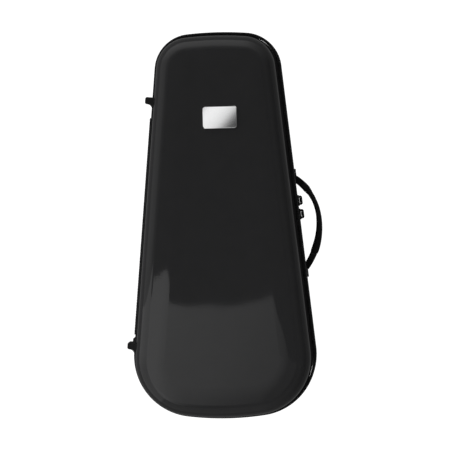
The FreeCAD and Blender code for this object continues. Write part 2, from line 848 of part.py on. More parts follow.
def nest_hollows():
    top = base_depth + overrun
    hollows = [bell_hollow()]
    hollows.append(rounded_block(valve_left, valve_right, valve_low_y, valve_high_y,
                                 base_depth - valve_depth, top, valve_round))
    hollows.append(loop_channel(slide_loop_y, valve_low_y + valve_round))
    hollows.append(loop_channel(crook_loop_y, valve_high_y - valve_round))
    hollows.append(rounded_block(bell_x - channel_width / 2, bell_x + channel_width / 2,
                                 crook_loop_y - channel_width, leadpipe_end_y,
                                 base_depth - channel_depth, top, channel_width / 2 - soft_gap))
    for y in (valve_high_y + scoop_past_crook_end, valve_low_y - scoop_past_slide_end):
        hollows.append(Part.makeSphere(scoop_radius, V(scoop_x, y, nest_top + scoop_rise)))
    hollows.append(rounded_block(holder_left, holder_right, holder_low_y, holder_high_y,
                                 holder_floor, top, holder_round))
    hollows.append(rounded_block(tray_left, tray_right, tray_low_y, tray_high_y,
                                 tray_floor, top, tray_round))
    return hollows


def base_nest():
    clear = shell_wall + soft_gap
    form = moulded_form(binding_proud + clear, padding_start, base_depth - clear, face_edge_radius - clear)
    return to_base(form).cut(nest_hollows()).removeSplitter().Solids[0]


def mouthpiece_holder():
    body = rounded_block(holder_left + soft_gap, holder_right - soft_gap, holder_low_y + soft_gap,
                         holder_high_y - soft_gap, holder_floor, nest_top, holder_round - soft_gap)
    middle_x = (holder_left + holder_right) / 2
    quarter = (holder_high_y - holder_low_y) / 4
    for y in (holder_low_y + quarter, holder_high_y - quarter):
        low = nest_top - mouth_depth
        body = body.cut(Part.makeCone(mouth_foot_radius, mouth_radius, mouth_depth, V(middle_x, y, low), UP))
    return body


def accessory_tray():
    top = nest_top - tray_lid_thickness - fit_gap
    outer = rounded_block(tray_left + soft_gap, tray_right - soft_gap, tray_low_y + soft_gap,
                          tray_high_y - soft_gap, tray_floor, top, tray_round - soft_gap)
    edge = soft_gap + tray_wall
    inner = rounded_block(tray_left + edge, tray_right - edge, tray_low_y + edge, tray_high_y - edge,
                          tray_floor + tray_wall, top + overrun, tray_round - edge)
    return outer.cut(inner)


def accessory_lid():
    return rounded_block(tray_left + tray_lid_gap, tray_right - tray_lid_gap, tray_low_y + tray_lid_gap,
                         tray_high_y - tray_lid_gap, nest_top - tray_lid_thickness, nest_top,
                         tray_round - tray_lid_gap)


def accessory_lid_tab():
    middle = (tray_low_y + tray_high_y) / 2
    right = tray_right - tray_lid_gap - tray_wall
    return rounded_block(right - tab_length, right, middle - tab_width / 2, middle + tab_width / 2,
                         nest_top, nest_top + tab_thickness, tab_width / 4)


def accessory_hinge_tape():
    right = tray_left - soft_gap
    return rounded_block(right - tray_tape_width, right, tray_low_y + tray_round, tray_high_y - tray_round,
                         nest_top, nest_top + tray_tape_thickness, tray_wall)


def lid_lining():
    clear = shell_wall + soft_gap
    outer = moulded_form(binding_proud + clear, padding_start, lid_depth - clear, face_edge_radius - clear)
    deep = clear + lining_thickness
    inner = moulded_form(binding_proud + deep, padding_start - overrun,
                         lid_depth - deep, face_edge_radius - deep)
    return outer.cut(inner)


def lid_valve_pad():
    top = base_depth + lid_depth - shell_wall - soft_gap - lining_thickness
    middle = (valve_low_y + valve_high_y) / 2
    lowest = base_depth + pad_lowest
    body = rounded_block(-pad_half_width, pad_half_width, middle - pad_length / 2, middle + pad_length / 2,
                         lowest, top, pad_round)
    rim = [edge for edge in body.Edges if edge.BoundBox.ZMax < lowest + fit_gap]
    return body.makeFillet(pad_edge_round, rim)


def base_parts():
    form = to_base(outer_form(base_depth))
    shell_body = to_base(shell(base_depth))
    holes = [to_base(hole) for hole in foot_screw_holes()] + bracket_screw_holes()
    upright_form = outer_form(base_depth)
    return {
        "base_shell": shell_body.cut(holes),
        "base_binding": to_base(binding()),
        "base_edge_trim": to_base(edge_trim()),
        "base_zip_tape": to_base(zip_tape()),
        "base_zip_chain": to_base(zip_chain()),
        "base_zip_stops": to_base(zip_stops()),
        "base_hinge_leaf": to_base(hinge_leaf()),
        "base_foot_upper": to_base(foot(foot_upper_y, upright_form)),
        "base_foot_lower": to_base(foot(foot_lower_y, upright_form)),
        "base_foot_screws": to_base(foot_screws()),
        "handle_bracket_upper": bracket(handle_upper_radius, 1, form),
        "handle_bracket_lower": bracket(handle_lower_radius, -1, form),
        "handle_bracket_screws": bracket_screws(),
        "base_nest": base_nest(),
        "mouthpiece_holder": mouthpiece_holder(),
        "accessory_tray": accessory_tray(),
        "accessory_hinge_tape": accessory_hinge_tape(),
    }


def lid_parts():
    form = outer_form(lid_depth)
    return {
        "lid_shell": to_lid(shell(lid_depth).cut(foot_screw_holes())),
        "lid_binding": to_lid(binding()),
        "lid_edge_trim": to_lid(edge_trim()),
        "lid_zip_tape": to_lid(zip_tape()),
        "lid_zip_chain": to_lid(zip_chain()),
        "lid_zip_stops": to_lid(zip_stops()),
        "lid_hinge_leaf": to_lid(hinge_leaf()),
        "lid_foot_upper": to_lid(foot(foot_upper_y, form)),
        "lid_foot_lower": to_lid(foot(foot_lower_y, form)),
        "lid_foot_screws": to_lid(foot_screws()),
        "lid_lining": to_lid(lid_lining()),
        "lid_valve_pad": lid_valve_pad(),
        "name_plate": name_plate(),
        "name_plate_pad": name_plate_pad(),
    }


def moving_parts():
    turned = slider_body().mirror(V(0, 0, 0), V(0, 1, 0))
    return {
        "zip_slider_upper": on_right_side(slider_body(), slider_upper_y, base_depth),
        "zip_slider_lower": on_right_side(turned, slider_lower_y, base_depth),
        "zip_pull_upper": on_right_side(slider_pull(), slider_upper_y, base_depth),
        "zip_pull_lower": on_right_side(slider_pull(), slider_lower_y, base_depth),
        "handle_strap": on_right_side(handle_strap(), handle_apex_y, handle_z),
        "handle_end_upper": on_right_side(handle_end(handle_upper_radius, 1), handle_apex_y, handle_z),
        "handle_end_lower": on_right_side(handle_end(handle_lower_radius, -1), handle_apex_y, handle_z),
        "accessory_lid": accessory_lid(),
        "accessory_lid_tab": accessory_lid_tab(),
    }


def main():
    os.makedirs("parts", exist_ok=True)
    parts = {}
    parts.update(base_parts())
    parts.update(lid_parts())
    parts.update(moving_parts())
    for name, shape in parts.items():
        if not shape.isValid():
            print("not valid:", name)
        print(name, len(shape.Solids), "solids", round(shape.Volume / 1000, 2), "cm3")
        shape.exportStep("parts/" + name + ".step")


main()
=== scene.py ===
# %% [markdown]
# # A moulded trumpet case
# The case comes from the CAD model as a frame of separate solids: two moulded shells, rim trims,
# feet, brackets, sliders and a plate. Those stay as they are and only get their finishes here.
# Everything that is cloth, padding or thread on the real case is made again in this script,
# because a solid from CAD has no softness.

# %% Load the frame
import math

import bmesh
import bpy
import numpy as np
from mathutils.bvhtree import BVHTree
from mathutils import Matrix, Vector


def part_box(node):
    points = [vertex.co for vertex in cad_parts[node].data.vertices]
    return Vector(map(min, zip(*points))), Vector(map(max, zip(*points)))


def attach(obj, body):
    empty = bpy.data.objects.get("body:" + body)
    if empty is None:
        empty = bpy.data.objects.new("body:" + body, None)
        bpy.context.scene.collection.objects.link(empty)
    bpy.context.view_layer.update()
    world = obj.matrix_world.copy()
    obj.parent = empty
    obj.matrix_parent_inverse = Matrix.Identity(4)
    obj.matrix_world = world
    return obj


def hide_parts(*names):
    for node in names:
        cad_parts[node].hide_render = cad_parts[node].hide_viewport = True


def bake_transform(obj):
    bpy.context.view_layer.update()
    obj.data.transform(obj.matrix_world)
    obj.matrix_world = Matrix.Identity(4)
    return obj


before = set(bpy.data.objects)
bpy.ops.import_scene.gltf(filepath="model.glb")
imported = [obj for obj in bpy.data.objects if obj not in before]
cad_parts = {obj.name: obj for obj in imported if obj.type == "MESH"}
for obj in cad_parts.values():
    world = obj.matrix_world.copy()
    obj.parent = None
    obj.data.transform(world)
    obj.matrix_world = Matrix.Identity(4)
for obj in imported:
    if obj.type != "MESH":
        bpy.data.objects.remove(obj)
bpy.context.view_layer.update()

# %% [markdown]
# ## The rim line
# Nearly every soft piece of the case runs round the same rounded wedge: the bindings, the zip, the
# padding. The real maker bends them round one former, so this script works out that former once.
# A traced list of points would do, but eight tangent runs give exact normals everywhere, and
# a piece that stands further in only needs a smaller radius.

# %% Sizes of the rim
case_length, case_width = 0.554, 0.2625
narrow_crown_radius, narrow_corner_radius = 0.477, 0.0526
wide_crown_radius, wide_corner_radius = 0.411, 0.0873
taper = math.radians(5.68)
side_out = np.array([math.cos(taper), math.sin(taper)])
side_along = np.array([-math.sin(taper), math.cos(taper)])
parting = (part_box("base_edge_trim")[1][2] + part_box("lid_edge_trim")[0][2]) / 2
print("The halves part at z =", round(parting, 4))


# %% The eight runs of the outline
def outline_runs():
    """Every run's first and last centre, radius, and first and last turn, anticlockwise.

    The first run is the wide corner on the handle side. An arc keeps its centre while its direction
    turns. A straight side is a run of radius 0 whose centre slides. Two circles that touch have
    their centres one difference of radii apart, which gives each corner's centre from its crown.
    """
    wide_crown = np.array([0, wide_crown_radius - case_length / 2])
    corner_x = case_width / 2 - wide_corner_radius
    drop = math.sqrt((wide_crown_radius - wide_corner_radius) ** 2 - corner_x ** 2)
    wide_corner = np.array([corner_x, wide_crown[1] - drop])
    narrow_crown = np.array([0, case_length / 2 - narrow_crown_radius])
    line = wide_corner + side_out * (wide_corner_radius - narrow_corner_radius)
    reach = line - narrow_crown
    shift = reach @ side_along
    room = narrow_crown_radius - narrow_corner_radius
    narrow_corner = line + side_along * (math.sqrt(shift ** 2 - reach @ reach + room ** 2) - shift)
    side_low = wide_corner + side_out * wide_corner_radius
    side_high = narrow_corner + side_out * narrow_corner_radius
    wide_turn = math.atan2(*(wide_corner - wide_crown)[::-1])
    narrow_turn = math.atan2(*(narrow_corner - narrow_crown)[::-1])
    right = [(wide_corner, wide_corner, wide_corner_radius, wide_turn, taper),
             (side_low, side_high, 0, taper, taper),
             (narrow_corner, narrow_corner, narrow_corner_radius, taper, narrow_turn)]
    mirror, pi = np.array([-1, 1]), math.pi
    left = [(end * mirror, start * mirror, radius, pi - last, pi - first)
            for start, end, radius, first, last in reversed(right)]
    return [*right, (narrow_crown, narrow_crown, narrow_crown_radius, narrow_turn, pi - narrow_turn),
            *left, (wide_crown, wide_crown, wide_crown_radius, pi - wide_turn, 2 * pi + wide_turn)]


run_from, run_to, run_radius, run_start, run_end = [np.array(part) for part in zip(*outline_runs())]
run_length = np.linalg.norm(run_to - run_from, axis=1) + run_radius * (run_end - run_start)
run_place = np.concatenate([[0], np.cumsum(run_length)])
rim_length = run_place[-1]


def rim(places, inset=0.0):
    """Points and outward directions at places along the rim line, in metres from its start.

    Point = centre + (radius - inset) * direction, with the centre and the direction
    in proportion to the way along the run that the place falls in.
    """
    places = np.mod(places, rim_length)
    run = np.clip(np.searchsorted(run_place, places, side="right") - 1, 0, len(run_length) - 1)
    share = (places - run_place[run]) / run_length[run]
    centre = run_from[run] + (run_to - run_from)[run] * share[..., None]
    angle = run_start[run] + (run_end - run_start)[run] * share
    direction = np.stack([np.cos(angle), np.sin(angle)], axis=-1)
    return centre + (run_radius[run] - inset)[..., None] * direction, direction


print("Rim line:", round(rim_length, 4), "m in", len(run_length), "runs")

# %% [markdown]
# ## From arrays to meshes
# A surface here is a grid of points worked out with numpy, and its faces are the grid's cells.
# Building it vertex by vertex with bmesh would also work, but whole arrays are faster and keep
# each shape down to one formula. The same helper lays a UV map in metres, so a weave keeps
# its real size on every band.


# %% Grid helpers
def cells(rows, columns, loop_rows=False, loop_columns=False):
    """Corner numbers of a grid's cells, each row of four going round its cell."""
    i = np.arange(rows if loop_rows else rows - 1)[:, None]
    j = np.arange(columns if loop_columns else columns - 1)[None, :]
    i_next, j_next = (i + 1) % rows, (j + 1) % columns
    corners = [i * columns + j, i_next * columns + j, i_next * columns + j_next, i * columns + j_next]
    return np.stack(np.broadcast_arrays(*corners), axis=-1).reshape(-1, 4)


def end_faces(rows, columns):
    """The two faces that close the ends of a tube of rings."""
    return [list(range(columns)), list(range((rows - 1) * columns, rows * columns))]


def cell_uv(along, across):
    """UV of every cell's corners, from the places of the grid's lines, one more than its cells."""
    i = np.arange(len(along) - 1)[:, None]
    j = np.arange(len(across) - 1)[None, :]
    u = [along[i], along[i + 1], along[i + 1], along[i]]
    v = [across[j], across[j], across[j + 1], across[j + 1]]
    pairs = [np.stack(np.broadcast_arrays(*pair), axis=-1) for pair in zip(u, v)]
    return np.stack(pairs, axis=-2).reshape(-1, 2)


def with_height(plan, height):
    """Plan points (x, y) with a height z for each, or one for all."""
    return np.concatenate([plan, np.broadcast_to(height, plan.shape[:-1])[..., None]], axis=-1)


def lengths(points):
    """Distance run so far at each point of a line, starting at 0."""
    steps = np.linalg.norm(np.diff(points, axis=0), axis=1)
    return np.concatenate([[0], np.cumsum(steps)])


def new_object(name, points, faces):
    """A mesh object from points and faces, linked into the scene."""
    mesh = bpy.data.meshes.new(name)
    mesh.from_pydata(np.asarray(points).reshape(-1, 3).tolist(), [], [list(face) for face in faces])
    made = bpy.data.objects.new(name, mesh)
    bpy.context.scene.collection.objects.link(made)
    return made


def make_piece(name, points, faces, material, body, uv=None, smooth=True):
    """A mesh object from points and faces, finished, facing outward, and riding on its body."""
    piece = new_object(name, points, faces)
    mesh = piece.data
    if uv is not None:
        layer = mesh.uv_layers.new(name="Cloth")
        layer.data.foreach_set("uv", np.asarray(uv, dtype=np.float32).ravel())
    shape = bmesh.new()
    shape.from_mesh(mesh)
    bmesh.ops.recalc_face_normals(shape, faces=shape.faces)
    shape.to_mesh(mesh)
    shape.free()
    mesh.polygons.foreach_set("use_smooth", [smooth] * len(mesh.polygons))
    mesh.materials.append(material)
    if body:
        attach(piece, body)
    return piece


print("A grid of 3 by 4 points has", len(cells(3, 4)), "cells")

# %% [markdown]
# ## Node groups for surface effects
# Several finishes share an effect: threads that cross, fine moulded grain, the nap of plush, faint
# scuffs. Each effect is one node group that gives out only heights and masks, and every material
# sets its own size and strength. Image textures would repeat and blur close up.


# %% Node helpers
def join(source, target):
    """Links a socket, or a node's first output, to an input socket."""
    source = source.outputs[0] if isinstance(source, bpy.types.Node) else source
    target.id_data.links.new(source, target)


def add(tree, kind, operation=None, **values):
    """A shader node of a kind, its inputs set or linked by their name, or by i and their number."""
    node = tree.nodes.new("ShaderNode" + kind)
    if operation:
        node.operation = operation
    for key, value in values.items():
        socket = node.inputs[int(key[1:]) if key[1:].isdigit() else key]
        if isinstance(value, (bpy.types.NodeSocket, bpy.types.Node)):
            join(value, socket)
        else:
            socket.default_value = value
    return node


def new_group(name, inputs, outputs):
    """A shader node group with a Vector input, float inputs (name, default) and float outputs.

    Gives the group's tree, the sockets that come in and the sockets that go out.
    """
    tree = bpy.data.node_groups.new(name, "ShaderNodeTree")
    tree.interface.new_socket("Vector", in_out="INPUT", socket_type="NodeSocketVector")
    for socket_name, default in inputs:
        socket = tree.interface.new_socket(socket_name, in_out="INPUT", socket_type="NodeSocketFloat")
        socket.default_value = default
    for socket_name in outputs:
        tree.interface.new_socket(socket_name, in_out="OUTPUT", socket_type="NodeSocketFloat")
    return tree, tree.nodes.new("NodeGroupInput").outputs, tree.nodes.new("NodeGroupOutput").inputs


# %% Weave: two sets of threads that pass over and under each other
def weave_group():
    """Height = |sin x| where the warp lies on top and |sin y| where the weft does, x and y in threads."""
    tree, entry, out = new_group("Weave", [("Threads", 1500.0)], ["Height", "Lean"])
    scaled = add(tree, "VectorMath", "SCALE", i0=entry["Vector"], Scale=entry["Threads"])
    parts = add(tree, "SeparateXYZ", i0=scaled).outputs
    turns = [add(tree, "Math", "MULTIPLY", i0=parts[axis], i1=math.pi) for axis in range(2)]
    waves = [add(tree, "Math", "SINE", i0=turn) for turn in turns]
    tops = [add(tree, "Math", "ABSOLUTE", i0=wave) for wave in waves]
    lean = add(tree, "Math", "MULTIPLY", i0=waves[0], i1=waves[1])
    over = add(tree, "MapRange", i0=lean, i1=-0.15, i2=0.15)
    join(add(tree, "Mix", i0=over, i2=tops[0], i3=tops[1]), out["Height"])
    join(over, out["Lean"])
    return tree


# %% Grain: the fine skin of moulded rubber and plastic
def grain_group():
    """Height is fine noise at Size, in metres. Tone is the same noise much larger, for uneven colour."""
    tree, entry, out = new_group("Grain", [("Size", 0.0005)], ["Height", "Tone"])
    scale = add(tree, "Math", "DIVIDE", i0=1.0, i1=entry["Size"])
    fine = add(tree, "TexNoise", Vector=entry["Vector"], Scale=scale, Detail=2.0, Roughness=0.6)
    join(fine, out["Height"])
    join(add(tree, "TexNoise", Vector=entry["Vector"], Scale=38.0, Detail=3.0), out["Tone"])
    return tree


# %% Nap: short upright pile that leans one way or the other
def nap_group():
    """Height is a dense field of pile tips, and Lean shows where the pile was last brushed over, for a
    painted sheen.
    """
    tree, entry, out = new_group("Nap", [("Pile", 1400.0), ("Brush", 16.0)], ["Height", "Lean"])
    place = entry["Vector"]
    tips = add(tree, "TexVoronoi", Vector=place, Scale=entry["Pile"])
    loose = add(tree, "TexNoise", Vector=place, Scale=260.0, Detail=3.0)
    strokes = add(tree, "TexNoise", Vector=place, Scale=entry["Brush"], Detail=2.0, Distortion=1.2)
    join(add(tree, "Math", "SUBTRACT", i0=loose, i1=tips.outputs["Distance"]), out["Height"])
    join(add(tree, "MapRange", i0=strokes, i1=0.38, i2=0.62), out["Lean"])
    return tree


# %% Scuffs: hairlines and handling marks that catch the light
def scuff_group():
    """Mask = thin bright ridges of stretched noise, kept only where a coarse noise allows them."""
    tree, entry, out = new_group("Scuffs", [("Amount", 0.5)], ["Mask"])
    stretched = add(tree, "Mapping", i0=entry["Vector"], Rotation=(0, 0, 0.6), Scale=(900, 26, 300))
    lines = add(tree, "TexNoise", Vector=stretched, Scale=1.0, Detail=2.0)
    thin = add(tree, "MapRange", i0=lines, i1=0.66, i2=0.72)
    patches = add(tree, "TexNoise", Vector=entry["Vector"], Scale=7.0, Detail=2.0)
    where = add(tree, "MapRange", i0=patches, i1=0.5, i2=0.7)
    both = add(tree, "Math", "MULTIPLY", i0=thin, i1=where)
    join(add(tree, "Math", "MULTIPLY", i0=both, i1=entry["Amount"]), out["Mask"])
    return tree


weave, grain, nap, scuffs = weave_group(), grain_group(), nap_group(), scuff_group()
print("Node groups:", [tree.name for tree in (weave, grain, nap, scuffs)])

# %% [markdown]
# ## Finishes
# The case is nearly all black, so the finishes differ by how they treat light, not by colour:
# a wet gloss on the shells, dead matt textile on the rim, satin on coil and caps, chalky rubber
# on the feet. Colour stays almost the same, and roughness, bump and sheen do the telling apart.


# %% Material helpers
def new_material(name, color, roughness, **constants):
    """A Principled material with constants on the shader's own sockets, _ for each space of a name."""
    made = bpy.data.materials.new(name)
    made.use_nodes = True
    shader = made.node_tree.nodes["Principled BSDF"]
    for key, value in {"Base_Color": (*color, 1), "Roughness": roughness, **constants}.items():
        shader.inputs[key.replace("_", " ")].default_value = value
    return made, made.node_tree, shader


def coordinates(tree, source="Object"):
    """The object's own coordinates in metres, or its cloth's UV map."""
    return tree.nodes.new("ShaderNodeTexCoord").outputs[source]


def effect(tree, group, source="Object", **values):
    """The outputs of a group node fed with coordinates."""
    node = add(tree, "Group")
    node.node_tree = group
    join(coordinates(tree, source), node.inputs["Vector"])
    for key, value in values.items():
        node.inputs[key].default_value = value
    return node.outputs


def bump(shader, height, distance):
    """Raises the surface by height times distance in metres, on top of the bump it already has."""
    node = add(shader.id_data, "Bump", Height=height, Distance=distance)
    for link in shader.inputs["Normal"].links:
        join(link.from_socket, node.inputs["Normal"])
    join(node, shader.inputs["Normal"])


def spread(tree, mask, low, high):
    """Turns a mask from 0 to 1 into values from low to high."""
    return add(tree, "MapRange", i0=mask, i3=low, i4=high)


def roughen(shader, mask, low, high):
    """Sets the roughness from low to high as the mask goes from 0 to 1."""
    join(spread(shader.id_data, mask, low, high), shader.inputs["Roughness"])


def paint(shader, mask, dark, light):
    """Sets the colour from dark to light as the mask goes from 0 to 1."""
    node = add(shader.id_data, "Mix")
    node.data_type = "RGBA"
    join(mask, node.inputs["Factor"])
    node.inputs["A"].default_value = (*dark, 1)
    node.inputs["B"].default_value = (*light, 1)
    join(node.outputs["Result"], shader.inputs["Base Color"])


# %% Gloss shell: a sheet of plastic, drawn over a mould and never quite flat
def gloss_shell():
    """Smooth plastic with slow waves from the mould, fine orange peel, dust and a few scuffs."""
    made, tree, shader = new_material("Gloss plastic", (0.040, 0.040, 0.041), 0.03, Specular_IOR_Level=0.3)
    roughen(shader, effect(tree, scuffs, Amount=0.35)["Mask"], 0.03, 0.2)
    for scale, height in ((8.0, 0.0006), (420.0, 0.000006)):
        bump(shader, add(tree, "TexNoise", Vector=coordinates(tree), Scale=scale, Detail=1.0), height)
    paint(shader, effect(tree, grain, Size=0.02)["Tone"], (0.037, 0.037, 0.038), (0.043, 0.043, 0.0445))
    return made


# %% Cloth and plush finishes
def cloth(name, threads, depth, dark, light, sheen):
    """Woven cloth whose threads follow the piece's own UV map, measured in metres, with painted shade in the
    low places between the threads.
    """
    made, tree, shader = new_material(name, dark, 0.85, Sheen_Weight=sheen, Sheen_Roughness=0.5)
    woven = effect(tree, weave, "UV", Threads=threads)
    bump(shader, woven["Height"], depth)
    # Painted shade: the colour goes from dark in the low places between the threads to light on the thread
    # tops.
    paint(shader, woven["Height"], dark, light)
    roughen(shader, woven["Lean"], 0.75, 0.95)
    return made


def plush():
    """Short pile with a sheen, and a painted sheen: the colour is paler where the pile was last brushed over.
    """
    made, tree, shader = new_material("Plush charcoal", (0.03, 0.03, 0.034), 0.95,
                                      Sheen_Weight=0.6, Sheen_Roughness=0.5)
    pile = effect(tree, nap)
    bump(shader, pile["Height"], 0.0007)
    # Painted sheen: the colour is paler where the pile was last brushed over.
    paint(shader, pile["Lean"], (0.022, 0.022, 0.026), (0.05, 0.05, 0.056))
    return made


# %% Moulded finishes and bare metal
def moulded(name, color, roughness, size, depth):
    """Grained rubber, plastic or coated metal, with an uneven tone and faint handling marks."""
    made, tree, shader = new_material(name, color, roughness, Specular_IOR_Level=0.25)
    skin = effect(tree, grain, Size=size)
    bump(shader, skin["Height"], depth)
    paint(shader, skin["Tone"], color, [channel * 1.6 + 0.004 for channel in color])
    roughen(shader, effect(tree, scuffs, Amount=0.6)["Mask"], roughness, min(1.0, roughness + 0.2))
    return made


def bare_metal(name, color, roughness, brushed):
    """Polished metal with fine lines along X and slightly clouded roughness."""
    made, tree, shader = new_material(name, color, roughness, Metallic=1.0)
    drawn = add(tree, "Mapping", i0=coordinates(tree), Scale=(60, 5000, 60))
    bump(shader, add(tree, "TexNoise", Vector=drawn, Scale=1.0, Detail=2.0), brushed)
    roughen(shader, effect(tree, grain, Size=0.004)["Tone"], roughness * 0.8, roughness * 1.4)
    return made


def domed_plate():
    """Bare metal whose bump is -7.8 u^2, with u the distance from a slanting crown past the low corner."""
    made = bare_metal("Plate metal", (0.95, 0.953, 0.957), 0.22, 0.000006)
    tree = made.node_tree
    low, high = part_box("name_plate")
    crown = (high[0] + 0.003, low[1] - 0.003, 0)
    offset = add(tree, "VectorMath", "SUBTRACT", i0=coordinates(tree), i1=crown)
    reach = add(tree, "VectorMath", "DOT_PRODUCT", i0=offset, i1=(-0.75, 0.66, 0.0)).outputs["Value"]
    square = add(tree, "Math", "MULTIPLY", i0=reach, i1=reach)
    bump(tree.nodes["Principled BSDF"], add(tree, "Math", "MULTIPLY", i0=square, i1=-7.8), 1.0)
    return made


# %% Make the finishes
binding_finish = cloth("Binding textile", 1250.0, 0.0002, (0.006, 0.006, 0.0065), (0.016, 0.016, 0.017), 0.15)
tape_finish = cloth("Zip tape", 1900.0, 0.00015, (0.006, 0.006, 0.007), (0.014, 0.014, 0.015), 0.1)
ribbon_finish = cloth("Ribbon", 1500.0, 0.0002, (0.012, 0.012, 0.014), (0.028, 0.028, 0.031), 0.3)
plush_finish = plush()
thread_finish = moulded("Thread", (0.012, 0.012, 0.013), 0.6, 0.0003, 0.00005)
coil_finish = moulded("Coil nylon", (0.01, 0.01, 0.011), 0.38, 0.0008, 0.00001)
handle_finish = moulded("Handle rubber", (0.006, 0.006, 0.006), 0.55, 0.0006, 0.00006)

cad_finishes = [
    (gloss_shell(), "base_shell lid_shell"),
    (moulded("Trim plastic", (0.012, 0.012, 0.012), 0.5, 0.0006, 0.00002), "base_edge_trim lid_edge_trim"),
    (coil_finish, "base_zip_stops lid_zip_stops"),
    (moulded("Foot rubber", (0.007, 0.007, 0.007), 0.55, 0.0007, 0.00004),
     "base_foot_upper base_foot_lower lid_foot_upper lid_foot_lower"),
    (bare_metal("Screw steel", (0.3, 0.3, 0.31), 0.35, 0.00001),
     "base_foot_screws lid_foot_screws handle_bracket_screws"),
    (moulded("Powder coat", (0.007, 0.007, 0.007), 0.45, 0.0005, 0.00005),
     "handle_bracket_upper handle_bracket_lower"),
    (moulded("Cap plastic", (0.006, 0.006, 0.006), 0.4, 0.0005, 0.00003),
     "handle_end_upper handle_end_lower"),
    (moulded("Slider lacquer", (0.008, 0.008, 0.008), 0.3, 0.002, 0.00001),
     "zip_slider_upper zip_slider_lower zip_pull_upper zip_pull_lower"),
    (moulded("Tray plastic", (0.02, 0.02, 0.021), 0.55, 0.0005, 0.00005), "accessory_tray"),
    (domed_plate(), "name_plate"),
    (moulded("Foam tape", (0.06, 0.06, 0.06), 0.8, 0.0004, 0.0001), "name_plate_pad"),
]
for finish, names in cad_finishes:
    for name in names.split():
        for material_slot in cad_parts[name].material_slots:
            material_slot.material = finish
print("Finished CAD nodes:", sum(len(names.split()) for finish, names in cad_finishes))

# %% [markdown]
# ## Bands that run round the rim
# The bindings and the zip tapes are flat textile bands, sewn round the rim with the same section all
# the way. A section swept along the rim line gives each of them. Blender's curve bevel could do
# that as well, but it twists on a line that isn't planar in its normals and gives no UV in metres.


# %% Sweep a section along the rim
def carried(places, section, side, closed=True):
    """Rings of the section's (inset, depth) pairs at every place, side +1 for the lid, -1 for the base.

    Point = rim point at that inset, at the height parting + side * depth.
    """
    plan = np.stack([rim(places, inset)[0] for inset in section[:, 0]], axis=1)
    points = with_height(plan, parting + side * section[:, 1])
    rows, columns = points.shape[:2]
    faces = cells(rows, columns, loop_rows=closed, loop_columns=True).tolist()
    around = lengths(np.concatenate([section, section[:1]]))
    step = lengths(plan[:, 0])
    last = step[-1] + np.linalg.norm(plan[0, 0] - plan[-1, 0])
    uv = cell_uv(np.append(step, last) if closed else step, around)
    if not closed:
        faces += end_faces(rows, columns)
        uv = np.concatenate([uv, np.zeros((2 * columns, 2))])
    return points, faces, uv


def squared_circle(turn, power):
    """sgn(cos t) |cos t|^q and sgn(sin t) |sin t|^q: a circle for q = 1, squarer for a smaller q."""
    return [np.sign(wave) * np.abs(wave) ** power for wave in (np.cos(turn), np.sin(turn))]


def oval_section(inset, depth, half_thickness, half_height, squareness, count):
    """A flattened oval of (inset, depth) points round a middle."""
    turn = np.linspace(0, 2 * math.pi, count, endpoint=False) + math.pi / count
    across, upward = squared_circle(turn, squareness)
    return np.stack([inset + half_thickness * across, depth + half_height * upward], axis=1)


rim_places = np.linspace(0, rim_length, 460, endpoint=False)
side_of = {"base": -1, "lid": 1}
print("Rim bands have", len(rim_places), "rings")

# %% [markdown]
# ## Rim bindings
# A folded textile band hides each shell's raw edge and holds the zip tape. It is a soft tube pressed
# flat, so its section is an oval with a shallow sewn groove, not a sharp bar. Each half has its own
# binding, because they part when the case opens.

# %% Make the bindings
binding_thickness, binding_near, binding_height = 0.0031, 0.0045, 0.0085
seam_depth, seam_sink, seam_width = 0.0105, 0.00035, 0.0009
section = oval_section(binding_thickness / 2, binding_near + binding_height / 2,
                       binding_thickness / 2, binding_height / 2, squareness=0.42, count=28)
outer_face = section[:, 0] < binding_thickness / 2
groove = np.exp(-((section[:, 1] - seam_depth) / seam_width) ** 2)
section[:, 0] += np.where(outer_face, seam_sink * groove, 0)
for half, side in side_of.items():
    points, faces, uv = carried(rim_places, section, side)
    make_piece("rim_binding_" + half, points, faces, binding_finish, half,
                                uv)
    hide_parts(half + "_binding")

# %% [markdown]
# ## Stitches
# A lockstitch shows as a row of short raised threads. Each one is a small ellipsoid of a few
# faces, laid half into the groove. They are real shapes and not a bump map, so they catch light
# on the silhouette as well.


# %% Repeat a small shape
def small_ellipsoid():
    """A ball of 20 points: two poles and three rings of six, at 45, 90 and 135 degrees from the pole."""
    polar_angle = np.repeat(np.radians([45, 90, 135]), 6)
    turn = np.tile(np.arange(6) * math.pi / 3, 3)
    ring = np.stack([np.cos(polar_angle), np.sin(polar_angle) * np.cos(turn),
                     np.sin(polar_angle) * np.sin(turn)], axis=1)
    points = np.concatenate([ring, [[1, 0, 0], [-1, 0, 0]]])
    faces = cells(3, 6, loop_columns=True).tolist()
    faces += [[18, (j + 1) % 6, j] for j in range(6)] + [[19, 12 + j, 12 + (j + 1) % 6] for j in range(6)]
    return points, faces


def repeated(shape, centres, frames):
    """Copies of a small shape: centre + x * frame row 0 + y * row 1 + z * row 2, for every copy at once."""
    points, faces = shape
    copies = centres[:, None, :] + np.einsum("pk,nkc->npc", points, frames)
    numbered = [[corner + copy * len(points) for corner in face]
                for copy in range(len(centres)) for face in faces]
    return copies.reshape(-1, 3), numbered


def rim_row(name, half, places, inset, depth, shape, size, material, smooth=True):
    """A row of one small shape on a half, at a depth from the parting, x along the rim and y outward."""
    plan, outward = rim(places, inset)
    out = with_height(outward, 0.0)
    up = np.broadcast_to([0.0, 0.0, 1.0], out.shape)
    frames = np.stack([np.cross(up, out), out, up], axis=1) * np.array(size)[:, None]
    points, faces = repeated(shape, with_height(plan, parting + side_of[half] * depth), frames)
    return make_piece(name + "_" + half, points, faces, material, half, smooth=smooth)


stitch_pitch, stitch_size = 0.004, (0.0015, 0.00035, 0.00035)
ball = small_ellipsoid()
stitch_places = np.arange(0, rim_length, stitch_pitch)
for half in side_of:
    rim_row("rim_stitches", half, stitch_places, seam_sink, seam_depth, ball, stitch_size,
            thread_finish)
print("Stitches on each binding:", len(stitch_places))

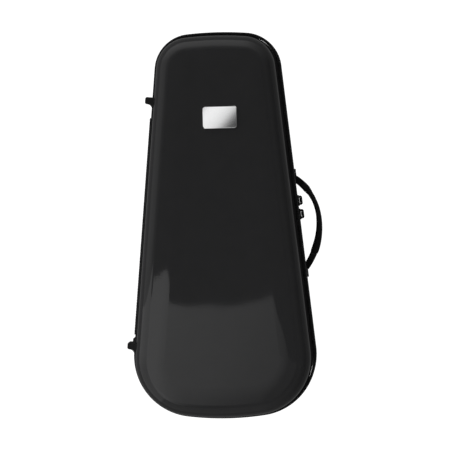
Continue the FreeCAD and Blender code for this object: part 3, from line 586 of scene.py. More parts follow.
# %% [markdown]
# ## Zip tapes and teeth
# The zip runs from one end of the cloth hinge round to the other. Its tape is woven, and its teeth
# are one row of small moulded blocks on each half. The teeth of one half stand in the gaps of the
# other, half a pitch apart, and each row keeps to its own side so that the halves can part.

# %% Tapes
window_high, window_low = 0.157, -0.154
window_start, window_end = [run_place[5] + (run_from[5][1] - y) / math.cos(taper)
                            for y in (window_high, window_low)]
zip_length = rim_length - (window_end - window_start)
zip_places = window_end + np.linspace(0, zip_length, 380)
tape_inset, tape_depth, tape_half_thickness, tape_half_width = 0.0038, 0.0074, 0.00045, 0.005
tape_section = oval_section(tape_inset, tape_depth, tape_half_thickness, tape_half_width,
                            squareness=0.35, count=16)
for half, side in side_of.items():
    points, faces, uv = carried(zip_places, tape_section, side, closed=False)
    tape = make_piece("zip_tape_" + half, points, faces, tape_finish, half, uv)
    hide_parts(half + "_zip_tape")
print("Zip length:", round(zip_length, 3))

# %% Teeth
tooth_pitch, tooth_size = 0.0016, (0.00125, 0.001, 0.0011)
tooth_inset, tooth_depth = 0.0033, 0.00128
tooth_points = np.array([(x * 0.5, y, z)
                         for y, z in ((-1, -1), (1, -0.75), (1, 0.75), (-1, 1)) for x in (-1, 1)])
tooth_points[2:6, 0] *= 0.72
tooth_faces = [[0, 1, 3, 2], [2, 3, 5, 4], [4, 5, 7, 6], [6, 7, 1, 0], [0, 2, 4, 6], [1, 7, 5, 3]]
for half, side in side_of.items():
    start = window_end + tooth_pitch * (0.75 if side > 0 else 0.25)
    places = np.arange(start, window_end + zip_length, tooth_pitch)
    teeth = rim_row("zip_teeth", half, places, tooth_inset, tooth_depth, (tooth_points, tooth_faces),
                    tooth_size, coil_finish, smooth=False)
    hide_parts(half + "_zip_chain")
print("Teeth on each half:", len(places))

# %% [markdown]
# ## Cloth hinge
# On the left side a strip of heavy cloth takes the place of the zip and holds the halves together.
# It is one piece on the real case, so it is one piece here, joined to neither body.
# Two separate leaves would open a gap when the lid turns.

# %% Make the hinge strip
strip_near, strip_far = -0.0002, -0.0015
strip_half_height, strip_margin = 0.01215, 0.0004
strip_places = np.linspace(window_start + strip_margin, window_end - strip_margin, 60)
depths = np.concatenate([np.linspace(-1, 1, 33), np.linspace(1, -1, 33)])
insets = np.repeat([strip_far, strip_near], 33)
edge_round = 1 - 0.5 * np.abs(depths) ** 24
middle_inset = (strip_near + strip_far) / 2
strip_section = np.stack([middle_inset + (insets - middle_inset) * edge_round,
                          depths * strip_half_height], axis=1)
points, faces, uv = carried(strip_places, strip_section, 1, closed=False)
hinge_cloth = make_piece("hinge_cloth", points, faces, tape_finish, None, uv)
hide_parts("base_hinge_leaf", "lid_hinge_leaf")
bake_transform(hinge_cloth)
hinge_stitch_depth, first_stitch = 0.0092, 0.003
hinge_stitch_places = np.arange(window_start + first_stitch, window_end - first_stitch, stitch_pitch)
for half in side_of:
    rim_row("hinge_stitches", half, hinge_stitch_places, strip_far, hinge_stitch_depth, ball, stitch_size,
            thread_finish)

# %% [markdown]
# ## A patch that fills the rim
# The plush of the nest and of the lid's ceiling fills the whole rounded wedge. A Coons patch between
# four stretches of the rim line covers it with even, square cells, and its edge is exactly the
# rim line, so the walls below can start from the same points. A fan from the centre would crowd
# the middle with slivers.


# %% Coons patch and its walls
def rim_patch(inset, columns, rows):
    """Plan points of a patch inside the rim line, and the places of its edge, anticlockwise.

    P(u, v) = (1-v) bottom(u) + v top(u) + (1-u) left(v) + u right(v) - the same blend of the corners.
    """
    corner = [(run_place[run] + run_place[run + 1]) / 2 for run in (0, 2, 4, 6)]
    corner.append(corner[0] + rim_length)
    sides = [np.linspace(*ends) for ends in zip(corner, corner[1:], (rows, columns, rows, columns))]
    right, top, left, bottom = [rim(side, inset)[0] for side in sides]
    top, left = top[::-1], left[::-1]
    u = np.linspace(0, 1, columns)[None, :, None]
    v = np.linspace(0, 1, rows)[:, None, None]
    plan = (1 - v) * bottom[None] + v * top[None] + (1 - u) * left[:, None] + u * right[:, None]
    plan -= (1 - v) * ((1 - u) * bottom[0] + u * bottom[-1])
    plan -= v * ((1 - u) * top[0] + u * top[-1])
    return plan, np.concatenate([side[:-1] for side in (sides[3], *sides[:3])])


def patch_edge(columns, rows):
    """Numbers of the patch's edge points, in the same order as its edge places."""
    grid = np.arange(columns * rows).reshape(rows, columns)
    return np.concatenate([grid[0, :-1], grid[:-1, -1], grid[-1, :0:-1], grid[:0:-1, 0]])


def walled(plan, height, rings):
    """A grid at its heights, walls through rings of edge points, and one face that closes the far end."""
    rows, columns = height.shape
    faces = cells(rows, columns).tolist()
    loop, total = patch_edge(columns, rows), rows * columns
    for ring in rings:
        below = np.arange(total, total + len(ring))
        faces += np.stack([loop, below, np.roll(below, -1), np.roll(loop, -1)], axis=1).tolist()
        loop, total = below, total + len(ring)
    faces.append(loop.tolist())
    return np.concatenate([with_height(plan, height).reshape(-1, 3), *rings]), faces


def filled(plan, height, edge_places, rings):
    """A walled patch whose rings are given as (inset, z) and follow the rim line."""
    return walled(plan, height, [with_height(rim(edge_places, inset)[0], z) for inset, z in rings])


print("Patch corners sit in the middle of the four corner arcs")

# %% [markdown]
# ## The nest
# The nest is foam cut to the trumpet's outline and covered with plush. Its surface is one height
# field: every hollow has its own depth, walls that lean a little, and edges rounded by the cloth
# pulled over them. Cutting solids from each other would leave knife edges that plush never has.
# The bell's hollow is half a flare turned about the trumpet's own axis, so its width at each
# height follows the bell.


# %% Heights of the hollows
def smooth_step(value):
    """0 below 0, 1 above 1, and s^2 (3 - 2s) between."""
    share = np.clip(value, 0, 1)
    return share * share * (3 - 2 * share)


def soft_min(a, b, width):
    """The lower of two heights, blended over a width where they meet, so no edge is sharp."""
    share = np.clip(0.5 + 0.5 * (b - a) / width, 0, 1)
    return b * (1 - share) + a * share - width * share * (1 - share)


def box_distance(x, y, left, right, low, high, radius):
    """Distance to a rounded rectangle's edge, below 0 inside it."""
    across = np.abs(x - (left + right) / 2) - (right - left) / 2 + radius
    along = np.abs(y - (low + high) / 2) - (high - low) / 2 + radius
    outside = np.hypot(np.maximum(across, 0), np.maximum(along, 0))
    return outside + np.minimum(np.maximum(across, along), 0) - radius


def pocket(distance, floor, inner=0.003, outer=0.003):
    """Height from the floor inside a pocket to the top outside, over a leaning soft wall."""
    return floor + (nest_top - floor) * smooth_step((distance + inner) / (inner + outer))


nest_top = 0.0777
bell_x, bell_rim_y, bell_end_y, bell_radius = -0.020, -0.242, 0.158, 0.066


def bell_height(x, y):
    """z = parting - sqrt(r^2 - (x - bell_x)^2).

    r is the bell's radius at its rim and r (1 + d / 28.2 mm)^-0.7 at a distance d behind it.
    """
    behind = np.clip(y - bell_rim_y - 0.008, 0, 0.230)
    radius = bell_radius * (1 + behind / 0.0282) ** -0.7
    radius = radius * np.sqrt(smooth_step((y - bell_rim_y) / 0.004 + 0.5))
    radius = radius * smooth_step((bell_end_y - y) / 0.006 + 0.5)
    return parting - np.sqrt(np.maximum(radius ** 2 - (x - bell_x) ** 2, 0))


def nest_height(x, y):
    """Soft minimum of the top and of every hollow."""
    valves = box_distance(x, y, -0.086, 0.080, -0.029, 0.075, 0.014)
    height = soft_min(np.full(x.shape, nest_top), pocket(valves, 0.038), 0.004)
    for loop_ends, island_ends in (((-0.099, -0.015), (-0.071, 0.005)), ((0.061, 0.161), (0.041, 0.133))):
        loop = box_distance(x, y, -0.034, 0.072, *loop_ends, 0.030)
        island = box_distance(x, y, -0.006, 0.044, *island_ends, 0.010)
        height = soft_min(height, pocket(np.maximum(loop, -island), 0.056), 0.005)
    leadpipe = box_distance(x, y, -0.034, -0.006, 0.133, 0.244, 0.0137)
    height = soft_min(height, pocket(leadpipe, 0.056), 0.005)
    height = soft_min(height, bell_height(x, y), 0.005)
    above, scoop_radius = nest_top + 0.008, 0.024
    for scoop_y in (0.111, -0.075):
        reach = np.hypot(x + 0.062, y - scoop_y)
        scoop = above - np.sqrt(np.maximum(scoop_radius ** 2 - reach ** 2, 0))
        height = soft_min(height, np.where(reach < scoop_radius, scoop, above), 0.004)
    holder = box_distance(x, y, 0.024, 0.070, 0.163, 0.225, 0.009)
    tray = box_distance(x, y, 0.052, 0.104, -0.209, -0.097, 0.008)
    for distance, floor in ((holder, 0.0165), (tray, 0.0155)):
        height = np.minimum(height, pocket(distance, floor, inner=-0.0002, outer=0.0025))
    return height


# %% Make the nest
nest_columns, nest_rows = ((170, 350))
nest_inset, nest_width, nest_length = 0.0078, 0.24, 0.52
wave_depth, edge_drop, edge_reach = 0.0003, 0.0035, 0.006
plan, edge_places = rim_patch(nest_inset, nest_columns, nest_rows)
x, y = plan[..., 0], plan[..., 1]
height = nest_height(x, y)
height -= wave_depth * (np.sin(x * 95 + 1) * np.sin(y * 70) + 1)
edge_u, edge_v = [np.minimum(np.linspace(0, 1, count), np.linspace(1, 0, count))
                  for count in (nest_columns, nest_rows)]
from_edge = np.minimum(edge_u[None, :] * nest_width, edge_v[:, None] * nest_length)
height -= edge_drop * (1 - np.clip(from_edge / edge_reach, 0, 1)) ** 2
draft = math.tan(math.radians(3))
wall_rings = [(nest_inset, 0.070), (nest_inset + 0.02 * draft, 0.050), (nest_inset + 0.045 * draft, 0.025),
              (0.0128, 0.014), (0.0185, 0.008)]
points, faces = filled(plan, height, edge_places, wall_rings)
nest = make_piece("plush_nest", points, faces, plush_finish, "base")
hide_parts("base_nest")
print("Nest:", len(nest.data.polygons), "faces, lowest hollow at z =", round(float(height.min()), 4))

# %% [markdown]
# ## Lining of the lid
# The lid is lined with thinner foam under the same plush. It turns over a rounded lip at the rim,
# climbs the wall and runs across the ceiling. Its back lies against the shell and is never seen,
# so that side is only closed off plainly.

# %% Make the lining
ceiling_columns, ceiling_rows = ((80, 170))
ceiling_inset, ceiling_height, ceiling_wave = 0.0330, 0.1473, 0.0004
plan, edge_places = rim_patch(ceiling_inset, ceiling_columns, ceiling_rows)
x, y = plan[..., 0], plan[..., 1]
ceiling = ceiling_height + ceiling_wave * np.sin(x * 60) * np.sin(y * 48 + 1)
wall_top, wall_inset, wall_round = 0.136, 0.0215, 0.0113
inner_rings = [(wall_inset + wall_round * (1 - math.cos(turn)), wall_top + wall_round * math.sin(turn))
               for turn in np.radians([80, 60, 40, 20, 0])]
inner_rings += [(0.0196, 0.118), (0.0180, 0.102), (0.0171, 0.0945), (0.0163, 0.0920), (0.0146, 0.0906),
                (0.0122, 0.0903), (0.0096, 0.0906), (0.0082, 0.0918), (0.0079, 0.0940),
                (0.0079, 0.098), (0.0095, 0.128), (0.0112, 0.138), (0.0165, 0.149), (0.0260, 0.1545)]
points, faces = filled(plan, ceiling, edge_places, inner_rings)
lining = make_piece("plush_lining", points, faces, plush_finish, "lid")
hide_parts("lid_lining")
print("Lining:", len(lining.data.polygons), "faces")

# %% [markdown]
# ## Rounded blocks
# The mouthpiece holder, the cover of the accessory box and the start of the valve pad are blocks
# with a rounded plan. A square grid is pressed into the rounded plan so that its outer row
# lies on the edge, and the top gets its own heights.


# %% Rounded plan and block
def rounded_plan(centre, half, radius, columns, rows):
    """A square grid in a rounded rectangle.

    In each corner (s, t) goes to r (s sqrt(1-t^2/2), t sqrt(1-s^2/2)).
    """
    u, v = np.meshgrid(np.linspace(-1, 1, columns) * half[0], np.linspace(-1, 1, rows) * half[1])
    s = np.clip((np.abs(u) - half[0] + radius) / radius, 0, 1)
    t = np.clip((np.abs(v) - half[1] + radius) / radius, 0, 1)
    x = np.minimum(np.abs(u), half[0] - radius) + radius * s * np.sqrt(1 - t * t / 2)
    y = np.minimum(np.abs(v), half[1] - radius) + radius * t * np.sqrt(1 - s * s / 2)
    return np.stack([centre[0] + np.sign(u) * x, centre[1] + np.sign(v) * y], axis=-1)


def edge_rise(reach, half, columns, rows):
    """0 at the edges of a grid and 1 from reach inward, along a quarter circle from each edge."""
    across, along = [np.minimum(np.linspace(0, 2 * side, count), np.linspace(2 * side, 0, count)) / reach
                     for side, count in zip(half, (columns, rows))]
    across, along = [np.sqrt(1 - (1 - np.clip(inward, 0, 1)) ** 2) for inward in (across, along)]
    return across[None, :] * along[:, None]


def block(plan, top, low, rings=2):
    """A closed block with its own top heights, straight walls and a flat underside."""
    edge = with_height(plan, top).reshape(-1, 3)[patch_edge(*top.shape[::-1])]
    shares = np.linspace(0, 1, rings + 1)[1:]
    return walled(plan, top, [with_height(edge[:, :2], edge[:, 2] + (low - edge[:, 2]) * share)
                              for share in shares])


print("Rounded plans hold their outer row on the edge")

# %% [markdown]
# ## Mouthpiece holder
# A separate plush-covered block with two tapered wells stands in its own pocket at the narrow end,
# so spare mouthpieces can't roll against the trumpet. The wells are cones, as wide at the top as a
# mouthpiece's cup, with a soft lip.

# %% Make the holder
holder_centre, holder_half = (0.047, 0.194), (0.0226, 0.0306)
holder_grid = 60, 80
holder_corner, holder_edge, holder_low = 0.0086, 0.003, 0.0172
plan = rounded_plan(holder_centre, holder_half, holder_corner, *holder_grid)
top = nest_top - holder_edge * (1 - edge_rise(holder_edge, holder_half, *holder_grid))
well_depth, well_radius, well_taper = 0.052, 0.0075, 0.0065
for well_y in (-0.0155, 0.0155):
    reach = np.hypot(plan[..., 0] - holder_centre[0], plan[..., 1] - holder_centre[1] - well_y)
    cone = nest_top - well_depth + well_depth * np.clip((reach - well_radius) / well_taper, 0, 2)
    top = soft_min(top, cone, holder_edge)
points, faces = block(plan, top, holder_low)
holder = make_piece("plush_mouthpiece_holder", points, faces, plush_finish, "base")
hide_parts("mouthpiece_holder")
print("Wells reach down to z =", round(float(top.min()), 4))

# %% [markdown]
# ## Cover, tab and hinge tape of the accessory box
# The box beside the bell has a thin padded cover. A cloth tape glued over its left edge is the hinge,
# and a folded ribbon sewn to the other side lifts it. The tape crosses the joint, so it is joined
# to neither the base nor the cover.

# %% Make the cover
cover_centre, cover_half = (0.078, -0.153), (0.0255, 0.0555)
cover_low, cover_edge, cover_swell = 0.0738, 0.0012, 0.0009
cover_grid, cover_corner, cover_round = (40, 70), 0.0075, 0.0045
plan = rounded_plan(cover_centre, cover_half, cover_corner, *cover_grid)
across, along = [1 - ((plan[..., axis] - cover_centre[axis]) / cover_half[axis]) ** 2 for axis in range(2)]
top = cover_low + cover_edge + cover_swell * np.clip(across * along, 0, 1)
top += (nest_top - cover_low - cover_edge) * edge_rise(cover_round, cover_half, *cover_grid)
points, faces = block(plan, top, cover_low)
cover = make_piece("plush_box_cover", points, faces, plush_finish, "accessory_cover")
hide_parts("accessory_lid")
print("Cover crown at z =", round(float(top.max()), 4))


# %% Ribbons: a flat strip that follows a line
def ribbon_strip(line, middle_y, width, thickness):
    """A strip of a given width in Y whose middle follows (x, z) points, closed all round.

    Its two faces stand half a thickness from the line, along the line's normal.
    """
    step = np.gradient(line, axis=0)
    normal = np.stack([-step[:, 1], step[:, 0]], axis=1)
    normal /= np.linalg.norm(normal, axis=1)[:, None]
    section = [(-0.5, -0.42), (-0.5, 0.42), (-0.42, 0.5), (0.42, 0.5),
               (0.5, 0.42), (0.5, -0.42), (0.42, -0.5), (-0.42, -0.5)]
    points = [np.insert(line + normal * up * thickness, 1, middle_y + across * width, axis=1)
              for across, up in section]
    points = np.stack(points, axis=1)
    rows, columns = points.shape[:2]
    faces = cells(rows, columns, loop_columns=True).tolist() + end_faces(rows, columns)
    around = np.linspace(0, 2 * (width + thickness), columns + 1)
    uv = np.concatenate([cell_uv(lengths(line), around), np.zeros((2 * columns, 2))])
    return points, faces, uv


# %% Make the hinge tape and the tab
box_tape_width, box_tape_thickness = 0.096, 0.0006
tab_width, tab_thickness = 0.0135, 0.0009
tape_x = np.linspace(0.0410, 0.0640, 40)
over_edge = 0.0008 * smooth_step((tape_x - 0.0520) / 0.008)
tape_line = np.stack([tape_x, nest_top + 0.0004 + over_edge], axis=1)
points, faces, uv = ribbon_strip(tape_line, cover_centre[1], box_tape_width, box_tape_thickness)
box_tape = make_piece("box_hinge_tape", points, faces, ribbon_finish, None, uv)
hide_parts("accessory_hinge_tape")
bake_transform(box_tape)
swing = np.linspace(0, 1, 60)
tab_x = 0.0935 + 0.0082 * np.cos(math.pi * (1.05 * swing - 1.0)) * (1 - 0.25 * swing)
tab_z = nest_top + 0.0014 + 0.0042 * np.sin(math.pi * np.clip(swing * 1.15 - 0.15, 0, 1)) ** 0.8
tab_line = np.stack([tab_x, tab_z], axis=1)
points, faces, uv = ribbon_strip(tab_line, cover_centre[1], tab_width, tab_thickness)
tab = make_piece("box_ribbon_tab", points, faces, ribbon_finish, "accessory_cover", uv)
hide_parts("accessory_lid_tab")
print("Tab ribbon:", round(lengths(tab_line)[-1], 4), "m long")

# %% [markdown]
# ## Pad over the valves
# A thick pad on the lid's ceiling presses on the valve block when the case is shut. It is foam in a
# plush cover, so it is blown up by a cloth simulation from a block that is a little too small: the
# sides belly out between the corners and the edges stay pulled in. The sum of sines that shapes
# the nest's top can't give that tension.


# %% Inflate a block as cloth
def evaluated(form):
    """The mesh of an object with its modifiers at work, and the mesh's points."""
    mesh = bpy.data.meshes.new_from_object(form.evaluated_get(bpy.context.evaluated_depsgraph_get()))
    points = np.empty(len(mesh.vertices) * 3)
    mesh.vertices.foreach_get("co", points)
    return mesh, points.reshape(-1, 3)


def inflated(name, points, faces, pressure, cap):
    """The block, remeshed evenly and blown up as closed cloth, no point moved further than the cap."""
    form = new_object(name, points, faces)
    remesh = form.modifiers.new("Even", "REMESH")
    remesh.mode = "VOXEL"
    remesh.voxel_size = 0.005
    start, rest = evaluated(form)
    form.modifiers.clear()
    form.data = start
    settings = form.modifiers.new("Swell", "CLOTH").settings
    settings.use_pressure = True
    settings.uniform_pressure_force = pressure
    settings.effector_weights.gravity = 0
    for number in range(1, 21):
        bpy.context.scene.frame_set(number)
    swollen, moved = evaluated(form)
    shift = moved - rest
    shift *= np.minimum(1, cap / np.maximum(np.linalg.norm(shift, axis=1, keepdims=True), 1e-9))
    bpy.context.scene.frame_set(1)
    bpy.data.objects.remove(form)
    return rest + shift, [list(polygon.vertices) for polygon in swollen.polygons]


# %% Make the valve pad
pad_centre, pad_half = (0.0, 0.023), (0.058, 0.045)
pad_low, pad_high = 0.100, 0.1477
shrink, pad_swell, pad_corner, pad_round = 0.004, 0.007, 0.014, 0.008
start_half = (pad_half[0] - shrink, pad_half[1] - shrink)
pad_grid = 24, 20
plan = rounded_plan(pad_centre, start_half, pad_corner, *pad_grid)
underside = pad_low + shrink + pad_swell * (1 - edge_rise(pad_round, start_half, *pad_grid))
points, faces = block(plan, underside, pad_high - 0.001, rings=8)
points, faces = inflated("valve_pad_form", points, faces, pressure=4.0, cap=0.006)
points = np.clip(points, [-pad_half[0], pad_centre[1] - pad_half[1], pad_low],
                 [pad_half[0], pad_centre[1] + pad_half[1], pad_high])
valve_pad = make_piece("plush_valve_pad", points, faces, plush_finish, "lid")
finer = valve_pad.modifiers.new("Finer", "SUBSURF")
finer.levels = finer.render_levels = 1
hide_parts("lid_valve_pad")
print("Valve pad:", len(valve_pad.data.polygons), "faces")

# %% [markdown]
# ## Seams on the padding
# Plush is sewn, so every padded piece shows a welt where two panels meet, with a row of stitches
# beside it. The line of each seam is drawn in plan and then laid on the finished surface by
# rays, so it follows whatever shape the padding took. Seams drawn before the cloth
# simulation would be swallowed by its remesh.


# %% Lay a closed line on a surface
welt_pitch, welt_sides = 0.003, 8


def even_loop(loop, pitch):
    """The same closed line of (x, y) points, at even steps close to the pitch."""
    closed = np.concatenate([loop, loop[:1]])
    way = lengths(closed)
    places = np.linspace(0, way[-1], max(8, round(way[-1] / pitch)), endpoint=False)
    return np.stack([np.interp(places, way, closed[:, axis]) for axis in range(2)], axis=1)


def laid(piece, loop, pitch, rays):
    """Even places of a loop where rays from a height, up or down, meet the piece, and their directions.

    The directions are the ways along the loop, towards its middle and out of the surface.
    """
    start_z, direction = rays
    surface = BVHTree.FromPolygons([vertex.co for vertex in piece.data.vertices],
                                   [list(polygon.vertices) for polygon in piece.data.polygons])
    hits = [surface.ray_cast((x, y, start_z), (0, 0, direction))[:2] for x, y in even_loop(loop, pitch)]
    places, normals = [np.array(part) for part in zip(*hits)]
    normals = normals * np.sign(-direction * normals[:, 2:])
    along = np.roll(places, -1, axis=0) - np.roll(places, 1, axis=0)
    along /= np.linalg.norm(along, axis=1)[:, None]
    return places, along, np.cross(normals, along), normals


def seam(name, piece, loop, rays, body, radius=0.0009, beside=0.0022):
    """A welt of the given radius on a closed line, and a row of stitches beside it, towards the middle."""
    places, _, inward, normals = laid(piece, loop, welt_pitch, rays)
    turn = np.linspace(0, 2 * math.pi, welt_sides, endpoint=False)[:, None]
    points = (places - normals * 0.3 * radius)[:, None] + radius * (
        np.cos(turn) * inward[:, None] + np.sin(turn) * normals[:, None])
    faces = cells(len(places), welt_sides, loop_rows=True, loop_columns=True)
    make_piece(name + "_welt", points, faces, plush_finish, body)
    toward = loop.mean(axis=0) - loop
    inner = loop + toward / np.linalg.norm(toward, axis=1)[:, None] * beside
    places, *directions = laid(piece, inner, stitch_pitch, rays)
    frames = np.stack(directions, axis=1) * np.array(stitch_size)[:, None]
    points, faces = repeated(ball, places, frames)
    make_piece(name + "_stitches", points, faces, thread_finish, body)


# %% Sew the padded pieces
def rim_loop(inset):
    """The rim line at an inset."""
    return rim(np.linspace(0, rim_length, 500, endpoint=False), inset)[0]


def rounded_loop(centre, half, margin, radius):
    """The edge of a rounded rectangle, a margin inside its half sizes, anticlockwise."""
    plan = rounded_plan(centre, np.array(half) - margin, radius, 40, 40)
    return plan.reshape(-1, 2)[patch_edge(40, 40)]


from_above, from_below = (0.2, -1), (0.0, 1)
seam("nest", nest, rim_loop(0.0150), from_above, "base")
seam("lining", lining, rim_loop(0.0118), from_below, "lid")
seam("holder", holder, rounded_loop(holder_centre, holder_half, 0.0032, 0.0055), from_above, "base",
     radius=0.0007, beside=0.0016)
seam("cover", cover, rounded_loop(cover_centre, cover_half, 0.0045, 0.004), from_above,
     "accessory_cover", radius=0.0007, beside=0.0018)
seam("pad", valve_pad, rounded_loop(pad_centre, pad_half, 0.014, 0.008), from_below, "lid")

# %% [markdown]
# ## Handle grip
# The grip is one moulded rubber strap, bowed outward and held by a collar at each end. Its bow is two
# arcs that share a tangent at the apex, tighter towards the narrow end, and it is fuller in its
# lower half, as in the photograph. It is a section swept along those arcs, so its width and
# thickness can change on the way.

# %% Make the grip
apex_y, handle_z, pivot_out, bow = 0.006, 0.038, -0.0022, 0.0276
upper_radius, lower_radius = 0.076, 0.106
collar_start, collar_mouth, shoulder = 0.0137, 0.0245, 0.001
neck_half_thickness, apex_half_width, narrowing, squareness = 0.0034, 0.0118, 0.0066, 0.6
arcs = []
for sign, radius in ((-1, lower_radius), (1, upper_radius)):
    whole_turn = math.acos(1 - bow / radius)
    hidden = np.linspace(collar_start, collar_mouth, 6)
    rounded = collar_mouth + np.linspace(0.00005, shoulder, 7)
    free = np.linspace(collar_mouth + shoulder, whole_turn * radius, 54)[1:]
    angle = whole_turn - np.concatenate([hidden, rounded, free]) / radius
    if sign > 0:
        angle = angle[-2::-1]
    line = np.stack([pivot_out + bow - radius * (1 - np.cos(angle)), sign * radius * np.sin(angle)], axis=1)
    arcs.append((line, np.stack([np.cos(angle), sign * np.sin(angle)], axis=1)))
grip_line, grip_normal = [np.concatenate(part) for part in zip(*arcs)]
way = lengths(grip_line)
from_mouth = np.minimum(way, way[-1] - way) - (collar_mouth - collar_start)
way /= way[-1]
in_collar = 1 - np.sqrt(1 - (1 - np.clip(from_mouth / shoulder, 0, 1)) ** 2)
full = np.interp(way, [0.09, 0.13, 0.20, 0.27, 0.34, 0.45, 0.58, 0.75, 0.85, 0.905],
                 [0.0054, 0.0058, 0.0056, 0.0052, 0.0048, 0.0043, 0.0037, 0.0034, 0.0038, 0.0048])
half_thickness = neck_half_thickness * in_collar + full * (1 - in_collar)
half_width = apex_half_width - narrowing * (2 * way - 1) ** 2
across, upward = squared_circle(np.linspace(0, 2 * math.pi, 32, endpoint=False), squareness)
out_along = grip_line[:, None] + grip_normal[:, None] * (half_thickness[:, None] * across)[..., None]
side_low = run_from[1]
rim_at_apex = np.array([side_low[0] - (apex_y - side_low[1]) * math.tan(taper), apex_y])
plan = rim_at_apex + out_along[..., :1] * side_out + out_along[..., 1:] * side_along
points = with_height(plan, handle_z + half_width[:, None] * upward)
rows, columns = points.shape[:2]
faces = cells(rows, columns, loop_columns=True).tolist() + end_faces(rows, columns)
grip = make_piece("handle_grip", points, faces, handle_finish, "handle")
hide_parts("handle_strap")
print("Grip:", round(float(lengths(grip_line)[-1]), 4), "m along its bow")

# %% [markdown]
# ## Camera and studio
# The case lies on its back and the camera looks down on the lid, a few degrees from the
# narrow end. A pale floor fills the picture. Black gloss shows only what it reflects, so the
# light is planned as a reflection: a dark patch of ceiling over the lid, pale walls around it, and
# one pale card whose edge crosses the lower part of the lid. A second card stands at the left
# for the rounding of the lid's edge, and shines brighter in mirrors than it lights the case.

# %% Camera
photo_width_m, camera_distance = 0.6466, 3.5
tilt_to_narrow_end, tilt_to_handle, roll = np.radians([2.276, 3.798, 1.463])
aim = np.array([0.0041, 0.0007, parting])

toward = np.array([math.sin(tilt_to_handle), math.sin(tilt_to_narrow_end), 0.0])
toward[2] = math.sqrt(1 - toward @ toward)
image_right = np.cross([math.sin(roll), math.cos(roll), 0.0], toward)
image_right /= np.linalg.norm(image_right)
image_up = np.cross(toward, image_right)

lens = bpy.data.cameras.new("Camera")
lens.sensor_width = 36.0
lens.lens = lens.sensor_width * camera_distance / photo_width_m
camera = bpy.data.objects.new("Camera", lens)
turned = np.eye(4)
turned[:3, :3] = np.stack([image_right, image_up, toward], axis=1)
turned[:3, 3] = aim + toward * camera_distance
camera.matrix_world = turned.T
bpy.context.scene.collection.objects.link(camera)
bpy.context.scene.camera = camera
bpy.context.scene.view_settings.view_transform = "Standard"
print("Camera at", turned[:3, 3].round(3), "lens", round(lens.lens, 1), "mm")


# %% Floor and cards
def stage_sheet(name, points, seen=False):
    """A flat sheet of the studio that glows white. Gives its node tree and the socket of its strength."""
    made, tree, shader = new_material(name, (0.1, 0.1, 0.1), 0.9, Emission_Color=(1, 1, 1, 1))
    sheet = new_object(name, points, [range(len(points))])
    sheet.data.materials.append(made)
    sheet.visible_camera = seen
    return tree, shader.inputs["Emission Strength"]


def ray_kind(tree, kind):
    """1 for rays of a kind, such as those from the camera, and 0 for all others."""
    return tree.nodes.new("ShaderNodeLightPath").outputs[kind]


floor_reach, floor_glow, floor_glow_seen = 12.0, 0.12, 1.1
floor_corners = [(x * floor_reach, y * floor_reach, 0.0) for x, y in ((-1, -1), (1, -1), (1, 1), (-1, 1))]
tree, strength = stage_sheet("Floor", floor_corners, seen=True)
join(spread(tree, ray_kind(tree, "Is Camera Ray"), floor_glow, floor_glow_seen), strength)

card_left, card_far, card_height = -1.4, -2.0, 2.25
card_edge = [(card_left, -0.165), (-0.553, -0.175), (-0.502, -0.176), (-0.440, -0.178), (-0.400, -0.180),
             (-0.370, -0.190), (-0.345, -0.207), (-0.320, -0.220), (-0.290, -0.228), (-0.265, -0.235),
             (-0.245, -0.246), (-0.213, -0.254), (-0.167, -0.258), (-0.115, -0.257), (-0.053, -0.244),
             (-0.007, -0.227), (0.030, -0.219), (0.080, -0.222), (0.105, -0.243), (0.125, -0.268),
             (0.155, -0.285), (0.20, -0.305), (0.26, -0.345), (0.31, -0.380), (0.38, -0.418),
             (0.50, -0.454), (0.60, -0.60), (0.60, card_far), (card_left, card_far)]
tree, strength = stage_sheet("Card", [(x, y, card_height) for x, y in card_edge])
parts = add(tree, "SeparateXYZ", i0=coordinates(tree)).outputs
left = add(tree, "Math", "MULTIPLY_ADD", i0=parts[0], i1=-1.3, i2=0.72)
glow = add(tree, "Math", "MULTIPLY_ADD", i0=parts[1], i1=0.6, i2=left)
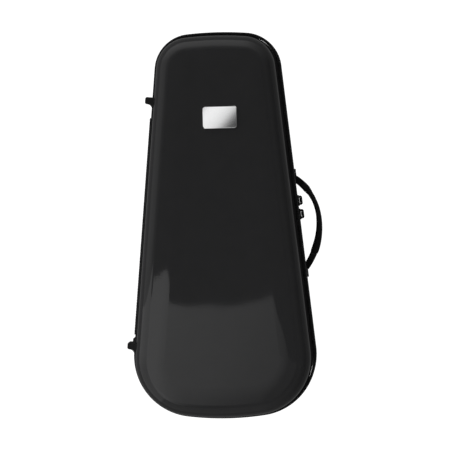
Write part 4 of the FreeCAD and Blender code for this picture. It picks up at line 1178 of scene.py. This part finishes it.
join(add(tree, "MapRange", i0=glow, i1=0.1, i2=1.2, i3=0.15, i4=1.45), strength)

side_card_near, side_card_low, side_glow = -0.09, 0.1, 0.35
side_edge = [(card_far, side_card_low), (side_card_near, side_card_low),
             (side_card_near, card_height), (card_far, card_height)]
tree, strength = stage_sheet("Side card", [(card_left, y, z) for y, z in side_edge])
parts = add(tree, "SeparateXYZ", i0=coordinates(tree)).outputs
mirrored_glow = add(tree, "MapRange", i0=parts[1], i1=-0.5, i2=0.0, i3=0.85, i4=1.35)
join(spread(tree, ray_kind(tree, "Is Glossy Ray"), side_glow, mirrored_glow), strength)
print("Card of", len(card_edge), "corners at height", card_height)


# %% World light
def studio_world():
    """Brightness = 0.05 + away * (0.28 - 0.27 x + share(x) end(y)), for the direction's parts x and y.

    away rises from 0 to 1 as the direction leaves the overhead axis, and end(y) towards the narrow end.
    """
    world = bpy.data.worlds.new("Studio")
    world.use_nodes = True
    tree = world.node_tree
    direction = coordinates(tree, "Generated")
    parts = add(tree, "SeparateXYZ", i0=direction).outputs
    axis = np.array([-0.03, -0.04, 1.0])
    axis /= np.linalg.norm(axis)
    lean = add(tree, "VectorMath", "DOT_PRODUCT", i0=direction, i1=tuple(axis)).outputs["Value"]
    away = add(tree, "MapRange", i0=lean, i1=0.94, i2=0.65, i3=0.0, i4=1.0)
    away.interpolation_type = "SMOOTHSTEP"
    sided = add(tree, "Math", "MULTIPLY_ADD", i0=parts[0], i1=-0.27, i2=0.28)
    ended = add(tree, "MapRange", i0=parts[1], i1=0.3, i2=0.85)
    share = add(tree, "MapRange", i0=parts[0], i1=0.0, i2=0.5, i3=0.75, i4=0.2)
    along = add(tree, "Math", "MULTIPLY_ADD", i0=ended, i1=share, i2=sided)
    background = tree.nodes["Background"].inputs
    background["Color"].default_value = (1, 1, 1, 1)
    join(add(tree, "Math", "MULTIPLY_ADD", i0=along, i1=away, i2=0.05), background["Strength"])
    bpy.context.scene.world = world


studio_world()
print("World light is", bpy.context.scene.world.name)
